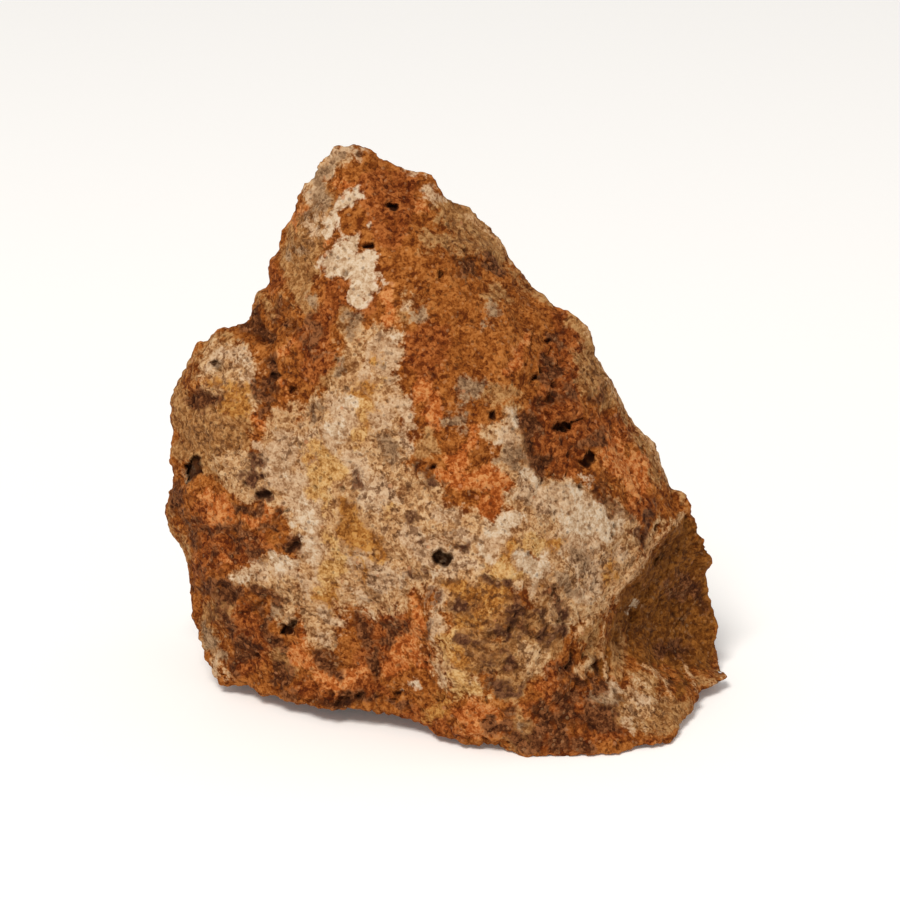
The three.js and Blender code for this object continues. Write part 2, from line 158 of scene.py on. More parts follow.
# The stains in the order in which they lie. Each is a group of strokes on the show side, as they appear from
# the viewing place. A group starts with its broad fields and ends with its small patches.
STROKES: dict[Stain, tuple[Stroke, ...]] = {
    Stain.BRICK: (
        ((-36, 95, 1.5), (-36, 90, 1.5)),
        ((-24, 90, 2), (-21.5, 87.5, 2), (-25, 84, 2.5), (-27, 80, 3), (-27, 74, 3)),
        ((-18, 85, 1), (-15.5, 85.5, 1)),
        ((-15, 109, 4), (-12, 102, 4), (-9, 110, 3)),
        ((22, 84, 2), (23.5, 79, 3.5), (22, 73, 4.5), (21, 66, 5), (22, 59, 6), (23.5, 53.5, 3.5)),
        ((28, 61, 4), (33, 62.5, 2), (36, 60, 1.5)),
        ((37, 45.5, 2), (40, 46, 2)),
        ((-7, 77, 3), (-5, 72, 3), (-3, 80, 3)),
        ((-50, 45, 2.5), (-46, 39, 3.5), (-49, 34, 2.5), (-39, 38, 3)),
        ((-41, 22, 4), (-37, 18, 3.5), (-41, 14, 2.5)),
        ((-16, 22, 3), (-13, 25, 3), (-12, 20, 3.5), (-16, 14, 3)),
        ((-30, 9, 2), (-24, 8, 2), (-18, 9, 3), (-12, 9, 2)),
        ((21.5, 14, 2), (20.5, 10, 2.5), (21, 6, 3), (26, 5, 3.5), (31, 2.5, 3), (34, 1.5, 2)),
        ((14, 5, 2), (17, 1, 2.5), (21, -2, 2.5), (27, -1.5, 2.5)),
        ((-9, 3.5, 1.5), (-5, 3, 1.5), (-1, 0.5, 1.5), (3, -0.5, 1.5)),
        ((43, -0.5, 1), (39, -1.5, 1)),
        ((-1.4, 46.2, 1.6),),
        ((26, 10, 1.2), (28, 6, 1.6), (30, 2, 2), (33, -0.5, 1.4)),
    ),
    Stain.TAN: (
        ((-26, 110, 2.5), (-27, 106, 3), (-28, 101, 3.5), (-30, 96.5, 3.5), (-30, 91, 3), (-30, 87, 2.5)),
        ((-38.5, 87.5, 1), (-36, 85, 1.5)),
        ((-25.5, 97, 1.2), (-23.5, 100, 1.2)),
        ((-2, 106.5, 1.5), (1, 104, 3), (4.5, 101, 4), (8, 98.5, 3), (10.5, 96, 1.5)),
        ((-3, 99, 2), (1, 97.5, 2)),
        ((-8.5, 86.5, 1.3), (-6.5, 87.8, 0.8), (-10, 84, 0.7)),
        ((8, 87.5, 1.2), (11, 88.5, 1.5)),
        ((13, 92.5, 0.7), (15.5, 89.3, 0.7), (20, 87, 0.7)),
        ((24, 84, 1), (26.5, 81.5, 1.5), (28, 78, 2), (28.5, 74, 2.5), (29, 70, 3), (32, 67, 2)),
        ((34, 66, 0.9), (38, 60.5, 1), (41, 56, 1.4), (42.5, 52, 1.3), (44.5, 49.5, 1.3), (46.5, 47, 1.2)),
        ((-54, 68, 2.5), (-53, 64, 3), (-49, 61, 5), (-46, 60, 5), (-43, 62.5, 3.5), (-42, 59, 3)),
        ((-53.5, 57.5, 2.5), (-48, 56.5, 3), (-45, 53.5, 3)),
        ((-54.5, 70.5, 1), (-52, 75, 1.3), (-48.5, 78.5, 1.2), (-43, 79.5, 1)),
        ((-56, 46, 1), (-55.5, 41, 1), (-53, 35, 0.8)),
        ((-46, 25.5, 2.5), (-49, 24, 1.5), (-48, 20, 2)),
        ((8, 68, 1.5), (12, 68.5, 1.5)),
        ((-5, 60, 1.5), (-6, 57, 1.5), (-5.5, 55, 1)),
        ((4, 28, 5.5), (8, 25, 5.5), (4, 20, 4), (3, 15, 4), (9, 16, 4)),
        ((14, 21, 5), (18, 19, 4), (15, 14, 4), (12, 10, 2.5)),
        ((19, 25, 4), (23, 22.5, 2)),
        ((31, 8, 2.5), (33, 5, 2.5), (37, 5, 3.5), (41, 4, 3.5), (45, 5, 3), (42, 1.5, 1.5)),
        ((36.5, 11, 1.5), (40, 10, 2)),
        ((51, 10.8, 1), (54, 12, 1.2)),
        ((15, 1, 2.5), (13, -1, 1.5)),
        ((-33, 13, 1.5), (-35, 16, 2)),
        ((-21, 84, 1.8), (-19.5, 80, 2.4), (-20, 75, 2.6), (-22.5, 71, 3), (-24, 66, 3)),
        ((12.5, 63.5, 1.8), (12.8, 58, 2.4), (14, 52, 3), (17, 46, 4.5), (23, 42, 7)),
        ((23, 42, 7), (28, 37, 6.5), (27, 30, 5)),
        ((33.5, 38, 3.2), (36.5, 35, 2), (33.5, 31.5, 2.2), (30.5, 28, 2.2)),
        ((43.5, 42.8, 0.9), (40.5, 39.3, 1.2), (38, 35.8, 1.3), (35.5, 32.5, 1.4)),
        ((28.3, 15.5, 0.7), (26.4, 11.8, 1.1)),
        ((29, 23, 2.2), (28.2, 19.5, 2.6), (28.8, 16, 2)),
        ((33.2, 21, 2), (33.6, 16.5, 2), (33.5, 13, 1.4)),
        ((14, 2.5, 1.6), (15.5, 0, 1.8)),
    ),
    Stain.ORANGE: (
        ((-2.5, 51.5, 1.5), (0, 51, 2.2), (4, 51, 2.6), (8, 51.5, 2.6), (10.3, 49.5, 2)),
        ((9.5, 47.5, 2.2), (7.5, 45.5, 2.6), (6.5, 43.8, 1.8)),
        ((1, 55, 2), (4, 58, 1.8), (5.5, 61, 1)),
        ((-3, 62.5, 1.5), (-3.5, 66, 1.8), (-6, 69.5, 1.5)),
        ((32.5, 58, 2.4), (32, 55, 2.2), (35, 53, 1.8), (37, 49, 1.8)),
        ((12, 73, 1), (14, 77, 1.2), (16, 80, 1)),
        ((-6.5, 28, 0.8), (-7.2, 25, 1), (-7.5, 22, 1.4), (-7.5, 19, 1.5), (-6, 16, 1.6), (-5, 13.5, 1)),
        ((-10, 15, 2.6), (-9.5, 18.5, 1.6), (-12, 13, 1.6)),
        ((-30, 22, 0.8), (-30, 19, 1.2), (-30.3, 16.5, 1.5), (-28, 14, 1.6), (-31.5, 14, 0.9)),
        ((-26, 11.5, 1.6), (-22, 11.5, 1.6), (-18, 12.5, 1.2)),
        ((-38.5, 64.5, 0.9), (-37.8, 62.5, 1), (-38.5, 60, 1)),
        ((-49, 48, 2), (-47, 45.5, 2.2), (-45, 43, 1.8)),
        ((-41, 43.5, 1.6), (-39, 42.5, 1.5), (-37, 46, 1.2), (-35.5, 45.3, 0.7)),
        ((-45, 34.5, 1.2), (-43, 33.2, 0.6)),
        ((-29.5, 35, 0.8), (-28.3, 33.3, 0.6)),
        ((-28.3, 107, 0.6), (-29.8, 105, 0.7), (-31, 102, 0.7)),
        ((-21.8, 109.6, 0.9), (-20, 110.6, 0.8)),
        ((-5.6, 105.8, 0.8), (-5.5, 104.6, 0.6)),
        ((-24.5, 98.5, 0.7), (-22.8, 100.2, 0.7)),
        ((-13, 89, 0.8), (-12.5, 85.5, 1), (-12, 82, 0.9)),
        ((-31.5, 78.5, 0.9), (-33, 76, 0.8)),
        ((-33, 70.5, 0.8), (-33, 67.5, 0.8)),
        ((6, 4, 2.6), (9, 2.5, 1.8), (5, 1, 1.6), (2, 4.5, 1.4)),
        ((17, 8.5, 0.8), (19, 8, 0.7)),
        ((25.3, 7, 1.1), (27, 6.3, 0.9)),
        ((37.5, 55.5, 1.6), (38.5, 52, 1.6)),
    ),
    Stain.SAND: (
        ((-19.5, 81, 1.5), (-19.5, 77.5, 2.4), (-18.5, 73, 3)),
        ((-13.6, 78.5, 3.4), (-14, 73, 4), (-15, 68, 6)),
        ((-18, 66, 7.5), (-20, 60, 10.5), (-21, 54, 12.5), (-20, 48, 12.5), (-18, 42, 12), (-16, 36, 11.5)),
        ((-31, 66, 1.5), (-34, 61, 2.5), (-35.5, 55, 3), (-34, 50, 4)),
        ((-28.5, 43, 4), (-27, 37, 4), (-25.5, 31, 5), (-26, 26, 4.5), (-26, 21, 3.5), (-24, 18, 2.5)),
        ((-43.5, 54, 3), (-41, 51, 3.5), (-38, 52.5, 3.5)),
        ((-42, 31.5, 1.8), (-38, 31.8, 2.5), (-34, 33, 3), (-31.5, 29, 3), (-33, 24.5, 2)),
        ((-9, 48, 6), (-6, 42, 6.5), (0, 40, 6), (5, 39, 5), (3, 34.5, 4.5)),
        ((-14, 31.5, 6), (-10, 34.5, 6), (-4, 34, 5), (-1.5, 29, 1.8), (-3, 24, 1.6), (-3.6, 19, 1.4)),
        ((-18.5, 27.5, 1.8), (-16, 26, 1.2)),
        ((-3.6, 19, 1.4), (-2.6, 13, 1.4), (-1, 10.5, 1)),
        ((8.5, 60, 1.6), (12.5, 60.5, 2.8), (12.3, 55.5, 2.8), (15, 51, 3.5), (17, 46.5, 5.5)),
        ((17, 46.5, 5.5), (22, 43, 7.5), (26, 38, 8.5), (27, 33, 8), (26, 28, 5.5), (22, 23.5, 3)),
        ((24, 46, 4.5), (29, 44, 5), (34, 40.5, 3.8), (36.3, 37, 2)),
        ((14, 41, 4.5), (9.5, 39, 4.5), (8, 35.5, 3.5), (13, 33.5, 3.5), (18, 31, 4.5)),
        ((13.8, 28.5, 1.2)),
        ((-24, 115, 3), (-20, 116.5, 1)),
        ((-47.5, 74.5, 3.6), (-43.5, 74.5, 3.8), (-40.5, 73.5, 2.8), (-42, 69, 4), (-46, 68.5, 3.5)),
        ((-47.5, 19, 1.5), (-46.5, 15, 1.4), (-46.3, 12.5, 1.2)),
        ((0, 19, 1.5), (-1, 16, 1.2), (1.5, 11, 2.6), (4.5, 9.5, 2)),
        ((37, 8, 2.5), (40, 6.5, 2)),
        ((43.8, 42.8, 0.6), (41, 39.8, 0.8), (37.8, 35.5, 1.2), (35, 32.5, 1.6)),
        ((35, 32.5, 1.6), (32, 29.5, 1.8), (29.5, 26.5, 1.8)),
        ((28.5, 24.5, 1.4), (27, 23, 1.1)),
        ((33, 39, 2.4), (34.5, 35.5, 2), (30.5, 36.5, 3)),
        ((-26.8, 111, 1.4), (-28, 107.5, 1.2)),
        ((16, 16.5, 2), (18, 14, 2), (15, 12.5, 1.6)),
        ((18.5, 24, 1.4), (19.5, 22.5, 1.1)),
        ((14.5, 32, 1.6), (16, 29.5, 1.6)),
        ((36.5, 8.5, 2.2), (39, 6.5, 2.4), (37, 4.5, 2)),
        ((28.2, 15.2, 0.5), (26.5, 12, 0.8)),
    ),
    Stain.CREAM: (
        ((-24, 117, 1.4), (-24.4, 113.5, 1.7), (-25.5, 110.5, 1.2)),
        ((-21.5, 117, 0.9), (-18, 116.8, 0.8)),
        ((-26.5, 110, 1), (-28.7, 108.5, 0.8)),
        ((-27, 103.5, 0.9), (-27.5, 100.5, 1)),
        ((-8.5, 112.8, 0.5), (-5, 112.6, 0.5)),
        ((-4, 110.5, 1), (-3, 109, 1.3), (-2, 107.5, 1)),
        ((-49, 73.5, 0.5), (-46.5, 75.5, 0.9), (-43, 76.3, 0.9)),
        ((-8.8, 86, 0.8), (-7.2, 87.3, 0.6)),
        ((-41, 75.2, 1.9), (-39.8, 72.8, 1.6), (-39.2, 70.5, 1.1)),
        ((-13, 79, 2), (-12.4, 75.5, 2.4), (-12.2, 71.5, 2)),
        ((-15.5, 76, 1.4), (-17, 72, 1.4)),
        ((-10, 66.5, 1.8), (-8.9, 63.5, 1.8), (-8.8, 60.5, 1.6), (-9.5, 57.5, 1)),
        ((-23.5, 67, 2.2), (-20, 67, 2.2), (-21, 63, 2.8), (-23.5, 59.5, 2.6)),
        ((-14, 65, 1.8), (-13.5, 61, 1.4)),
        ((-33.5, 60, 1.6), (-33, 56, 2.8), (-33.5, 52, 2.8), (-31, 48.5, 2.8), (-28.8, 45.5, 2.4)),
        ((-38.5, 57, 1.2), (-36.5, 55, 1.6)),
        ((-28, 52.5, 1.8), (-27.5, 59, 2)),
        ((-19, 55.5, 2.2), (-17.5, 51.5, 1.8)),
        ((-26.5, 45, 1.6), (-26.5, 40, 1.8), (-27.5, 35.5, 1.6), (-25.8, 32, 1.4)),
        ((-16.5, 46.5, 1.8), (-14.5, 50.5, 1.8), (-11.5, 48.5, 1.8)),
        ((-8, 39.5, 2.2), (-5.5, 36, 2.2), (-2, 38.5, 2), (1.5, 41, 1.8)),
        ((-2, 44.5, 1.4), (2, 44.5, 1.2)),
        ((-18.5, 35.5, 1.8), (-14.5, 33.5, 1.8), (-12, 30.5, 1.8), (-8.5, 31, 1.4)),
        ((-2, 32.5, 1.4), (3, 33.5, 1.6), (1, 36.5, 1.4)),
        ((-41.5, 31.8, 1.4), (-38.5, 33, 1.6)),
        ((-34.3, 35.3, 1), (-32.5, 33, 1.5), (-30, 31, 1.5), (-29.3, 29, 1.4)),
        ((-22, 23.5, 1.4), (-25.5, 25, 1.2)),
        ((-26, 19.5, 1), (-24.5, 18.3, 1), (-22, 19.5, 0.9)),
        ((-20, 28.6, 0.9), (-18, 27, 1), (-16, 25.6, 0.8)),
        ((-46.8, 17, 0.7), (-46.5, 12.4, 0.9)),
        ((-3, 28.5, 0.9), (-3.2, 25, 1), (-3.5, 21.5, 1.1), (-3.5, 18.8, 0.7)),
        ((-2.4, 12.8, 0.9), (-1.5, 10.8, 0.6)),
        ((9, 58.5, 1.2), (12.8, 62.5, 1.4), (12.5, 59, 1.6), (12.3, 55.5, 1.2)),
        ((15.5, 52, 2.2), (14, 49.5, 1.8), (17.5, 47.5, 2), (21, 46.5, 2.6)),
        ((21, 47, 2.6), (25.5, 46.5, 3), (29.5, 44, 3), (32.5, 41.5, 2.4)),
        ((24.5, 42, 3.2), (28, 39, 3), (22, 37.5, 2)),
        ((26, 34.5, 2.4), (29.5, 32.5, 2.2), (27.5, 28.5, 2.4)),
        ((33.5, 37, 1.6), (31.5, 35, 1.6)),
        ((9, 41.5, 2.2), (12.5, 43, 2.2), (7, 37, 2)),
        ((15.5, 34.6, 2.2), (18.8, 34.2, 1.8), (17, 29.5, 1.6)),
        ((13.8, 28.3, 0.9)),
        ((37, 8.5, 1), (39, 7.5, 1)),
        ((31.5, 9.3, 0.7), (33, 9, 0.6)),
        ((36.2, 2.5, 1)),
    ),
    Stain.GREY: (
        ((-31, 97.5, 0.7), (-30, 96, 0.8)),
        ((-28.5, 104.5, 0.9), (-26, 107, 0.9)),
        ((-28.3, 86.8, 0.6),),
        ((-21, 83.5, 0.8), (-19, 83.5, 1), (-20, 80.5, 0.9)),
        ((-22.8, 75.3, 0.7), (-22.5, 72.5, 0.9)),
        ((2.5, 70.2, 1.3), (4.5, 69.8, 1.6), (6.5, 69.5, 1.1), (3.5, 68, 1.2)),
        ((0, 63.8, 1.3), (1.8, 63.3, 1.6), (3.3, 65, 0.9), (3, 61, 0.8)),
        ((-6.5, 84.8, 1), (-5.5, 83.5, 0.8)),
        ((8, 86.3, 0.7), (9.5, 84.5, 0.5)),
        ((7.5, 82.3, 0.7), (9.5, 81.5, 0.5)),
        ((-13, 59.5, 0.9), (-12.5, 56, 1.1)),
        ((-26.5, 65.5, 1), (-27.5, 62.5, 1)),
        ((10, 55, 0.8), (13.8, 56, 1.2), (13.8, 53.5, 0.8)),
        ((15.8, 47, 0.8), (17.5, 44, 0.8)),
        ((22, 32, 1), (24.5, 30, 1)),
        ((25.5, 37.5, 1), (27, 34.5, 0.9)),
        ((14.8, 1.5, 0.8),),
        ((-34.5, 25.5, 0.8), (-36, 23.5, 0.8)),
        ((-49, 21.5, 1.3), (-47.5, 19.5, 1.1), (-45, 16, 0.8)),
        ((36.6, 26.4, 1.5), (37.8, 26, 1.1)),
        ((28.5, 8, 1.4), (31.5, 6.8, 1.3)),
        ((-53, 51.3, 0.5), (-52.7, 53.5, 0.4)),
        ((-22.6, 116.6, 0.6), (-25.5, 113.5, 1), (-25, 110, 1), (-26.5, 108, 0.8)),
    ),
    Stain.OCHRE: (
        ((-21.5, 47, 1.2), (-21, 44, 2.2), (-20, 41, 2.4), (-18.5, 38.5, 2.2), (-15.5, 38, 1.4)),
        ((-14.2, 75.2, 0.7),),
        ((-15.8, 71.5, 0.8), (-16.5, 69.5, 1.1)),
        ((-18.5, 68.3, 1.2), (-16.5, 62, 1.3), (-18.5, 60.5, 1)),
        ((-27.5, 54.5, 0.9), (-29, 56, 0.7)),
        ((-14, 36.6, 0.8), (-12, 36.6, 0.8)),
        ((-17, 33.5, 1), (-16.5, 31.8, 0.9)),
        ((-25.5, 29, 1.3), (-23.5, 28.5, 1.3), (-23, 26, 1.3)),
        ((-48, 70.5, 0.8), (-43.5, 69.5, 1.2), (-41, 68.8, 0.9)),
        ((-45.5, 66.5, 1.8), (-43, 66.8, 2), (-42.5, 64.5, 1.4)),
        ((12.5, 39, 1), (12, 37, 1.2), (10.5, 34.5, 1.2), (8.5, 33.3, 1)),
        ((20.5, 37.5, 0.9), (22, 38.3, 0.8), (21, 35.8, 0.6)),
        ((19.3, 31, 1), (18.3, 30.3, 0.6)),
        ((9, 29.5, 1), (7.7, 27, 1.2), (8.3, 24.5, 1.6), (10, 22.8, 1)),
        ((4.5, 22.3, 1), (2.5, 22, 0.9)),
        ((4.5, 13, 0.9), (3.5, 13.3, 0.7)),
        ((-3.5, 4.5, 1.2), (-1, 5.5, 1.2), (-2, 7.5, 1)),
        ((31, 33, 1.2), (31.5, 30.8, 0.9), (32, 37, 0.8)),
        ((48.5, 15, 0.8), (50, 13, 0.7)),
        ((1, 29, 1.8), (5, 27.5, 2.6), (9, 25.5, 2.8), (4.5, 22.5, 2)),
        ((9.5, 29.5, 1.8), (11.5, 27, 1.4)),
        ((-1, 20.5, 1.2), (0, 17.5, 1.4), (2.5, 14.5, 1.4)),
    ),
    Stain.YELLOW: (
        ((-13.5, 72.5, 0.8), (-13.8, 70, 0.8)),
        ((-18.5, 66.3, 0.5), (-16.8, 64.5, 0.7), (-18, 62, 0.7), (-19, 58, 0.8)),
        ((-27, 57.5, 2), (-24.5, 55, 2.6), (-23, 52.5, 2.2), (-26, 51.5, 2.4)),
        ((-26.5, 48.5, 1.6), (-24.5, 47, 1.3), (-25.5, 44, 0.9)),
        ((-24, 41, 1), (-23.5, 37.5, 1.8), (-22.8, 34, 2), (-24.5, 31.5, 1.8)),
        ((16, 38.8, 1.4), (18.5, 38.8, 1.1), (14, 36.8, 0.8)),
        ((7, 33.5, 0.8), (14.5, 31.5, 1)),
        ((0, 20.5, 1.2), (-0.8, 17.8, 1.2), (-1.2, 15.7, 0.7)),
        ((0.3, 12, 1.3), (2.3, 11.5, 1.3), (1.5, 9.3, 1.5), (4, 9, 1.4), (6, 9.3, 0.9)),
        ((-12.8, 43.8, 0.8), (-11.5, 44.4, 0.6)),
        ((8.3, 23.6, 0.7), (6, 24.3, 0.5)),
        ((32.2, 49.8, 0.5), (32.2, 48.8, 0.5)),
    ),
    Stain.SCAR: (
        ((47, 43.5, 1.2), (47, 40, 3), (44.5, 37.5, 2.4), (49, 35, 3)),
        ((42.5, 35, 2.6), (45.5, 31.5, 3.6), (41, 31, 3), (38.2, 29.5, 2.4), (35.5, 27.5, 2)),
        ((43.5, 26.5, 5), (49, 26, 4), (38.5, 23.5, 4), (36.3, 22, 2)),
        ((45, 20, 5), (50.5, 19.5, 3), (39, 18, 4), (36.2, 16.5, 1.6)),
        ((44, 15.5, 2.6), (50.5, 15, 2.2), (41, 15.5, 2)),
        ((32.5, 22.5, 1), (32, 18, 1), (30.8, 12.5, 0.8)),
        ((46, 9, 1), (47, 11, 1)),
        ((46.2, 42, 1), (43.8, 38.8, 1.3), (41.2, 35.5, 1.4)),
        ((41.2, 35.5, 1.4), (39, 32.5, 1.4), (36.8, 29.8, 1.4), (34.5, 27, 1.6)),
        ((33.3, 24, 1.3), (32.4, 21, 0.7)),
        ((49.5, 39, 1.4), (51, 36, 1.2), (50, 31, 1.4), (52, 24, 1.2), (52, 19, 1.2), (52, 15, 1)),
    ),
    Stain.UMBER: (
        ((1.5, 94, 1), (4.5, 95, 1), (3, 92.5, 0.8)),
        ((8, 93.5, 0.9), (10, 92.5, 0.7), (7.5, 96, 0.7)),
        ((16.5, 63.5, 1.3), (16, 59, 1.5), (16.5, 56, 1.5), (18.5, 53, 1.4), (20, 55, 1)),
        ((22.5, 81.5, 1), (20.5, 80, 1), (22, 77.5, 1)),
        ((19.5, 74.5, 1.5), (21, 73.5, 1.2), (19.5, 72, 1.2), (17.5, 71.8, 0.7)),
        ((20, 68.5, 1), (21.5, 67.5, 0.9), (24, 69, 0.8), (18, 65, 0.8), (17.5, 67, 0.6)),
        ((30, 51.5, 0.9), (30, 49, 0.9), (31.5, 46.5, 1), (33, 44.5, 0.8), (35.5, 43, 0.7)),
        ((31, 68.5, 0.6), (30.5, 70.5, 0.6), (28.5, 66.5, 0.8)),
        ((30, 60, 1.1), (31, 58.5, 0.9), (25.5, 57.5, 0.8), (23, 59, 0.6)),
        # A dark brown patch in the notch below the knob: painted shade in the notch.
        ((-38.8, 84.5, 1.3), (-38, 80.5, 1.4), (-36.5, 79.5, 1), (-41, 82, 0.8)),
        ((-32, 81.5, 1), (-30.5, 81, 0.7)),
        ((-35.5, 72, 1.3), (-36.5, 70, 1.2), (-35, 75, 0.8)),
        ((-38.5, 69, 1.2), (-36, 68.5, 1.4), (-36, 66, 1.2), (-37, 65, 0.9)),
        ((-51.5, 66.5, 1.5), (-49, 66.5, 1.6), (-50.5, 68, 1.1), (-46.5, 67.3, 1)),
        ((-43, 45, 0.9), (-40, 45.5, 1.1), (-38.5, 45.5, 0.7)),
        ((-34, 44.5, 0.8), (-36, 42.5, 0.8), (-38, 41, 0.6)),
        ((-54.5, 49, 1), (-54.5, 45, 1.1)),
        ((-50, 40, 0.9), (-46, 40, 0.9), (-44, 39.5, 0.8), (-40.5, 39.3, 0.8)),
        ((-42.5, 37.5, 1.1), (-43.5, 36, 1)),
        ((-33, 38.5, 1.2), (-31, 37, 1.8), (-29.5, 38.5, 0.9)),
        ((-50, 30, 1.2), (-47, 30, 1.2), (-44.5, 30, 1.5), (-45, 28, 1.8), (-42.5, 28, 1.5)),
        ((-39, 29.5, 1), (-36.5, 28.5, 1.4), (-35, 28, 1), (-34.5, 26.5, 0.8)),
        ((-41, 19, 1.2), (-39.5, 17.5, 1.5), (-42.3, 16, 1), (-42.3, 13, 0.9)),
        ((-36, 19, 1.5), (-37, 22, 1.3), (-33, 17, 1)),
        ((-35, 14.5, 0.9), (-34.5, 12.5, 1.1), (-33.5, 10.5, 0.9)),
        ((-26, 15.5, 0.9), (-24, 14, 0.9), (-22, 13, 0.6)),
        ((-31, 8, 0.9), (-35.5, 9.5, 0.8)),
        ((-27, 6.3, 0.8), (-22, 7, 1.1), (-18.5, 7, 1.1), (-14.5, 7.5, 1.1), (-9, 6, 0.8)),
        ((-18.5, 22.5, 0.9), (-17, 20.5, 0.9), (-17.2, 18.5, 0.6)),
        ((-15, 18, 0.6), (-14.8, 14, 0.7), (-14.8, 11, 0.8)),
        ((-12.5, 18, 0.7), (-10.5, 21.8, 0.8), (-13, 23, 0.9)),
        ((8, 2, 1), (10.5, 2.5, 0.9), (12, 4, 0.7)),
        ((22.5, 14, 1), (23.7, 12.5, 1.1), (24.7, 16.5, 0.8), (24, 10.5, 0.8)),
        ((20.5, 2.5, 1.5), (23, 2.8, 1.5), (22, 0, 1.5), (20, -1.5, 1.2), (24.5, -2.5, 1)),
        ((28, 4, 1.2), (31.5, 4, 1.1), (29.5, 6, 0.9)),
        ((14.5, -2, 1.2), (12.5, 0.5, 0.7)),
        ((29.5, 9.5, 0.9), (28.7, 12, 0.9), (29.8, 14.5, 0.6)),
        ((24, 11.8, 1), (26.5, 9.3, 1.2), (24.8, 7.6, 0.9)),
        ((20.5, 28.5, 0.9), (21, 30, 0.7)),
        ((-52.5, 43, 1), (-51, 38.5, 1.1)),
        ((-48, 42, 0.8), (-45.5, 41.5, 0.9), (-42.5, 42, 0.7)),
        ((-47, 36, 1), (-48.5, 33.5, 1)),
        ((-37.5, 35.5, 0.9), (-39.5, 36.8, 0.9)),
        ((-47, 25, 0.9), (-44.5, 22.5, 1), (-43.5, 19.5, 0.9)),
        ((-38.5, 26.5, 0.9), (-37.8, 24, 0.8)),
        ((-28.5, 84, 0.7), (-26, 81, 0.8), (-28, 78, 0.8), (-25.5, 76.5, 0.6)),
        ((-33, 86, 0.8), (-34.5, 83.5, 0.9)),
        ((7.5, 19.8, 0.5), (10.5, 20.4, 0.8), (12.8, 22.3, 0.9), (14, 25, 0.8)),
        ((5, 15.6, 0.4), (8, 16.6, 0.6), (10.5, 17.6, 0.6)),
        ((1, 19.4, 0.5), (4, 18.6, 0.8), (6.5, 18.4, 0.5)),
        ((10.5, 13.6, 0.8), (12.5, 13.4, 0.9)),
        ((15.8, 27.5, 0.7), (16.4, 25.8, 0.6)),
        ((21.5, 29, 0.6), (21.8, 26, 0.6), (22.2, 24, 0.5)),
        ((18, 19.8, 0.7), (20.2, 20.4, 0.6)),
        ((46.5, 31.5, 1.4), (49, 29, 1.6), (50.5, 26, 1.2)),
        ((44, 29.5, 0.7), (47, 27.5, 0.8)),
        ((42.5, 16.5, 1), (45, 17.2, 1.1), (47.5, 16.5, 0.8)),
        ((38.7, 40.5, 0.9), (38.3, 38.5, 0.9)),
        ((22.5, 8, 1.2), (25, 4.5, 1.4), (28, 2.2, 1.3), (31.5, 1.4, 1)),
        ((25.5, -0.5, 1.2), (28.5, -2, 1.1)),
        ((17.5, 5.5, 1.1), (19, 4, 1.3), (17, -1.5, 1.1)),
        ((33.5, 0.8, 0.6), (24.5, 9.5, 0.8)),
        ((9, 30.6, 0.7), (12.5, 29.6, 0.8)),
        ((11.5, 26.5, 0.8), (15.8, 26.2, 1), (19.5, 24.6, 0.8)),
        ((13.5, 22.4, 0.8), (17.5, 21.2, 0.9), (21.5, 20.3, 0.8)),
    ),
    Stain.SPECKLE: (
        ((-30, 98, 2.5), (-27, 102, 2.5), (-26, 106, 2)),
        ((-49, 72.5, 3), (-46, 74, 3), (-43, 73, 3)),
        ((-24, 69, 2), (-25, 65, 2.5), (-28, 62, 2.5)),
        ((-14, 79, 1.5), (-17, 81, 2)),
        ((-30, 58, 2.5), (-32, 57.5, 2.5), (-28, 59, 2)),
        ((-42, 54, 4), (-41, 50.5, 3), (-37, 53, 2.5)),
        ((-12, 58, 4), (-11, 51, 4.5), (-13, 46, 4), (-10, 42, 4.5), (-7, 44.5, 3.5)),
        ((-4, 40, 3), (2, 38, 2.5), (5, 40.5, 2), (-3, 49, 2)),
        ((-15, 34, 4.5), (-9, 32.5, 4), (-4, 32, 3), (3, 33, 3), (-5, 37.5, 2)),
        ((-38, 30.5, 2.5), (-32, 28, 3), (-31, 24, 3)),
        ((-26, 23, 3), (-24, 19, 3)),
        ((2, 25.5, 4), (6, 23, 4), (10, 27, 4), (4, 29, 3), (3, 17, 3.5), (8, 16, 4), (9, 12, 3)),
        ((13, 56, 2.5), (15, 47, 2), (19, 45, 2)),
        ((26, 33, 4), (31, 34, 4), (35, 37, 2.5), (30, 29, 2)),
        ((17, 24, 4), (20, 25.5, 3), (21, 21, 3)),
        ((16, 15, 3), (13, 12, 3), (17, 20, 3)),
        ((29, 73, 2.5), (30, 69, 2)),
        ((2, 98, 3), (6, 96.5, 3), (0, 102, 2), (4, 93, 2)),
        ((-50, 62, 3), (-45, 58, 4)),
        ((34, 6, 3), (41, 4, 3)),
        ((46, 38, 3), (43, 32, 4), (46, 24, 5), (38, 21, 4)),
    ),
    Stain.WHITE: (
        ((-21, 100.5, 0.7), (-20, 98.3, 1.4), (-21.5, 96, 1.7), (-24, 94.5, 1.6), (-25.5, 93, 1.2)),
        ((-21, 94, 2.4), (-18.5, 93, 2.6), (-16, 94.7, 1.6), (-15.5, 92, 1.5)),
        ((-17.5, 90, 2.2), (-18.3, 88, 1.5), (-19, 86.4, 0.9), (-16.7, 89, 1.4)),
        ((-18.3, 109, 0.9), (-20, 107.6, 0.9), (-22, 106.2, 1), (-23, 104.5, 0.7)),
        ((-24, 103.2, 1), (-22.3, 102.8, 0.8), (-24.8, 101.3, 0.8)),
        ((-16.4, 101.6, 0.6), (-16.3, 103, 0.4)),
        ((-11.1, 79, 0.7)),
        ((-21.5, 67, 1), (-20, 67, 0.7)),
        ((-23.5, 61.8, 1), (-22.2, 60.8, 0.9), (-22.6, 58.2, 0.7)),
        ((-33.3, 52.6, 0.8), (-32, 51.8, 0.8)),
        ((-29.5, 46.8, 0.8), (-28.7, 45.8, 0.7)),
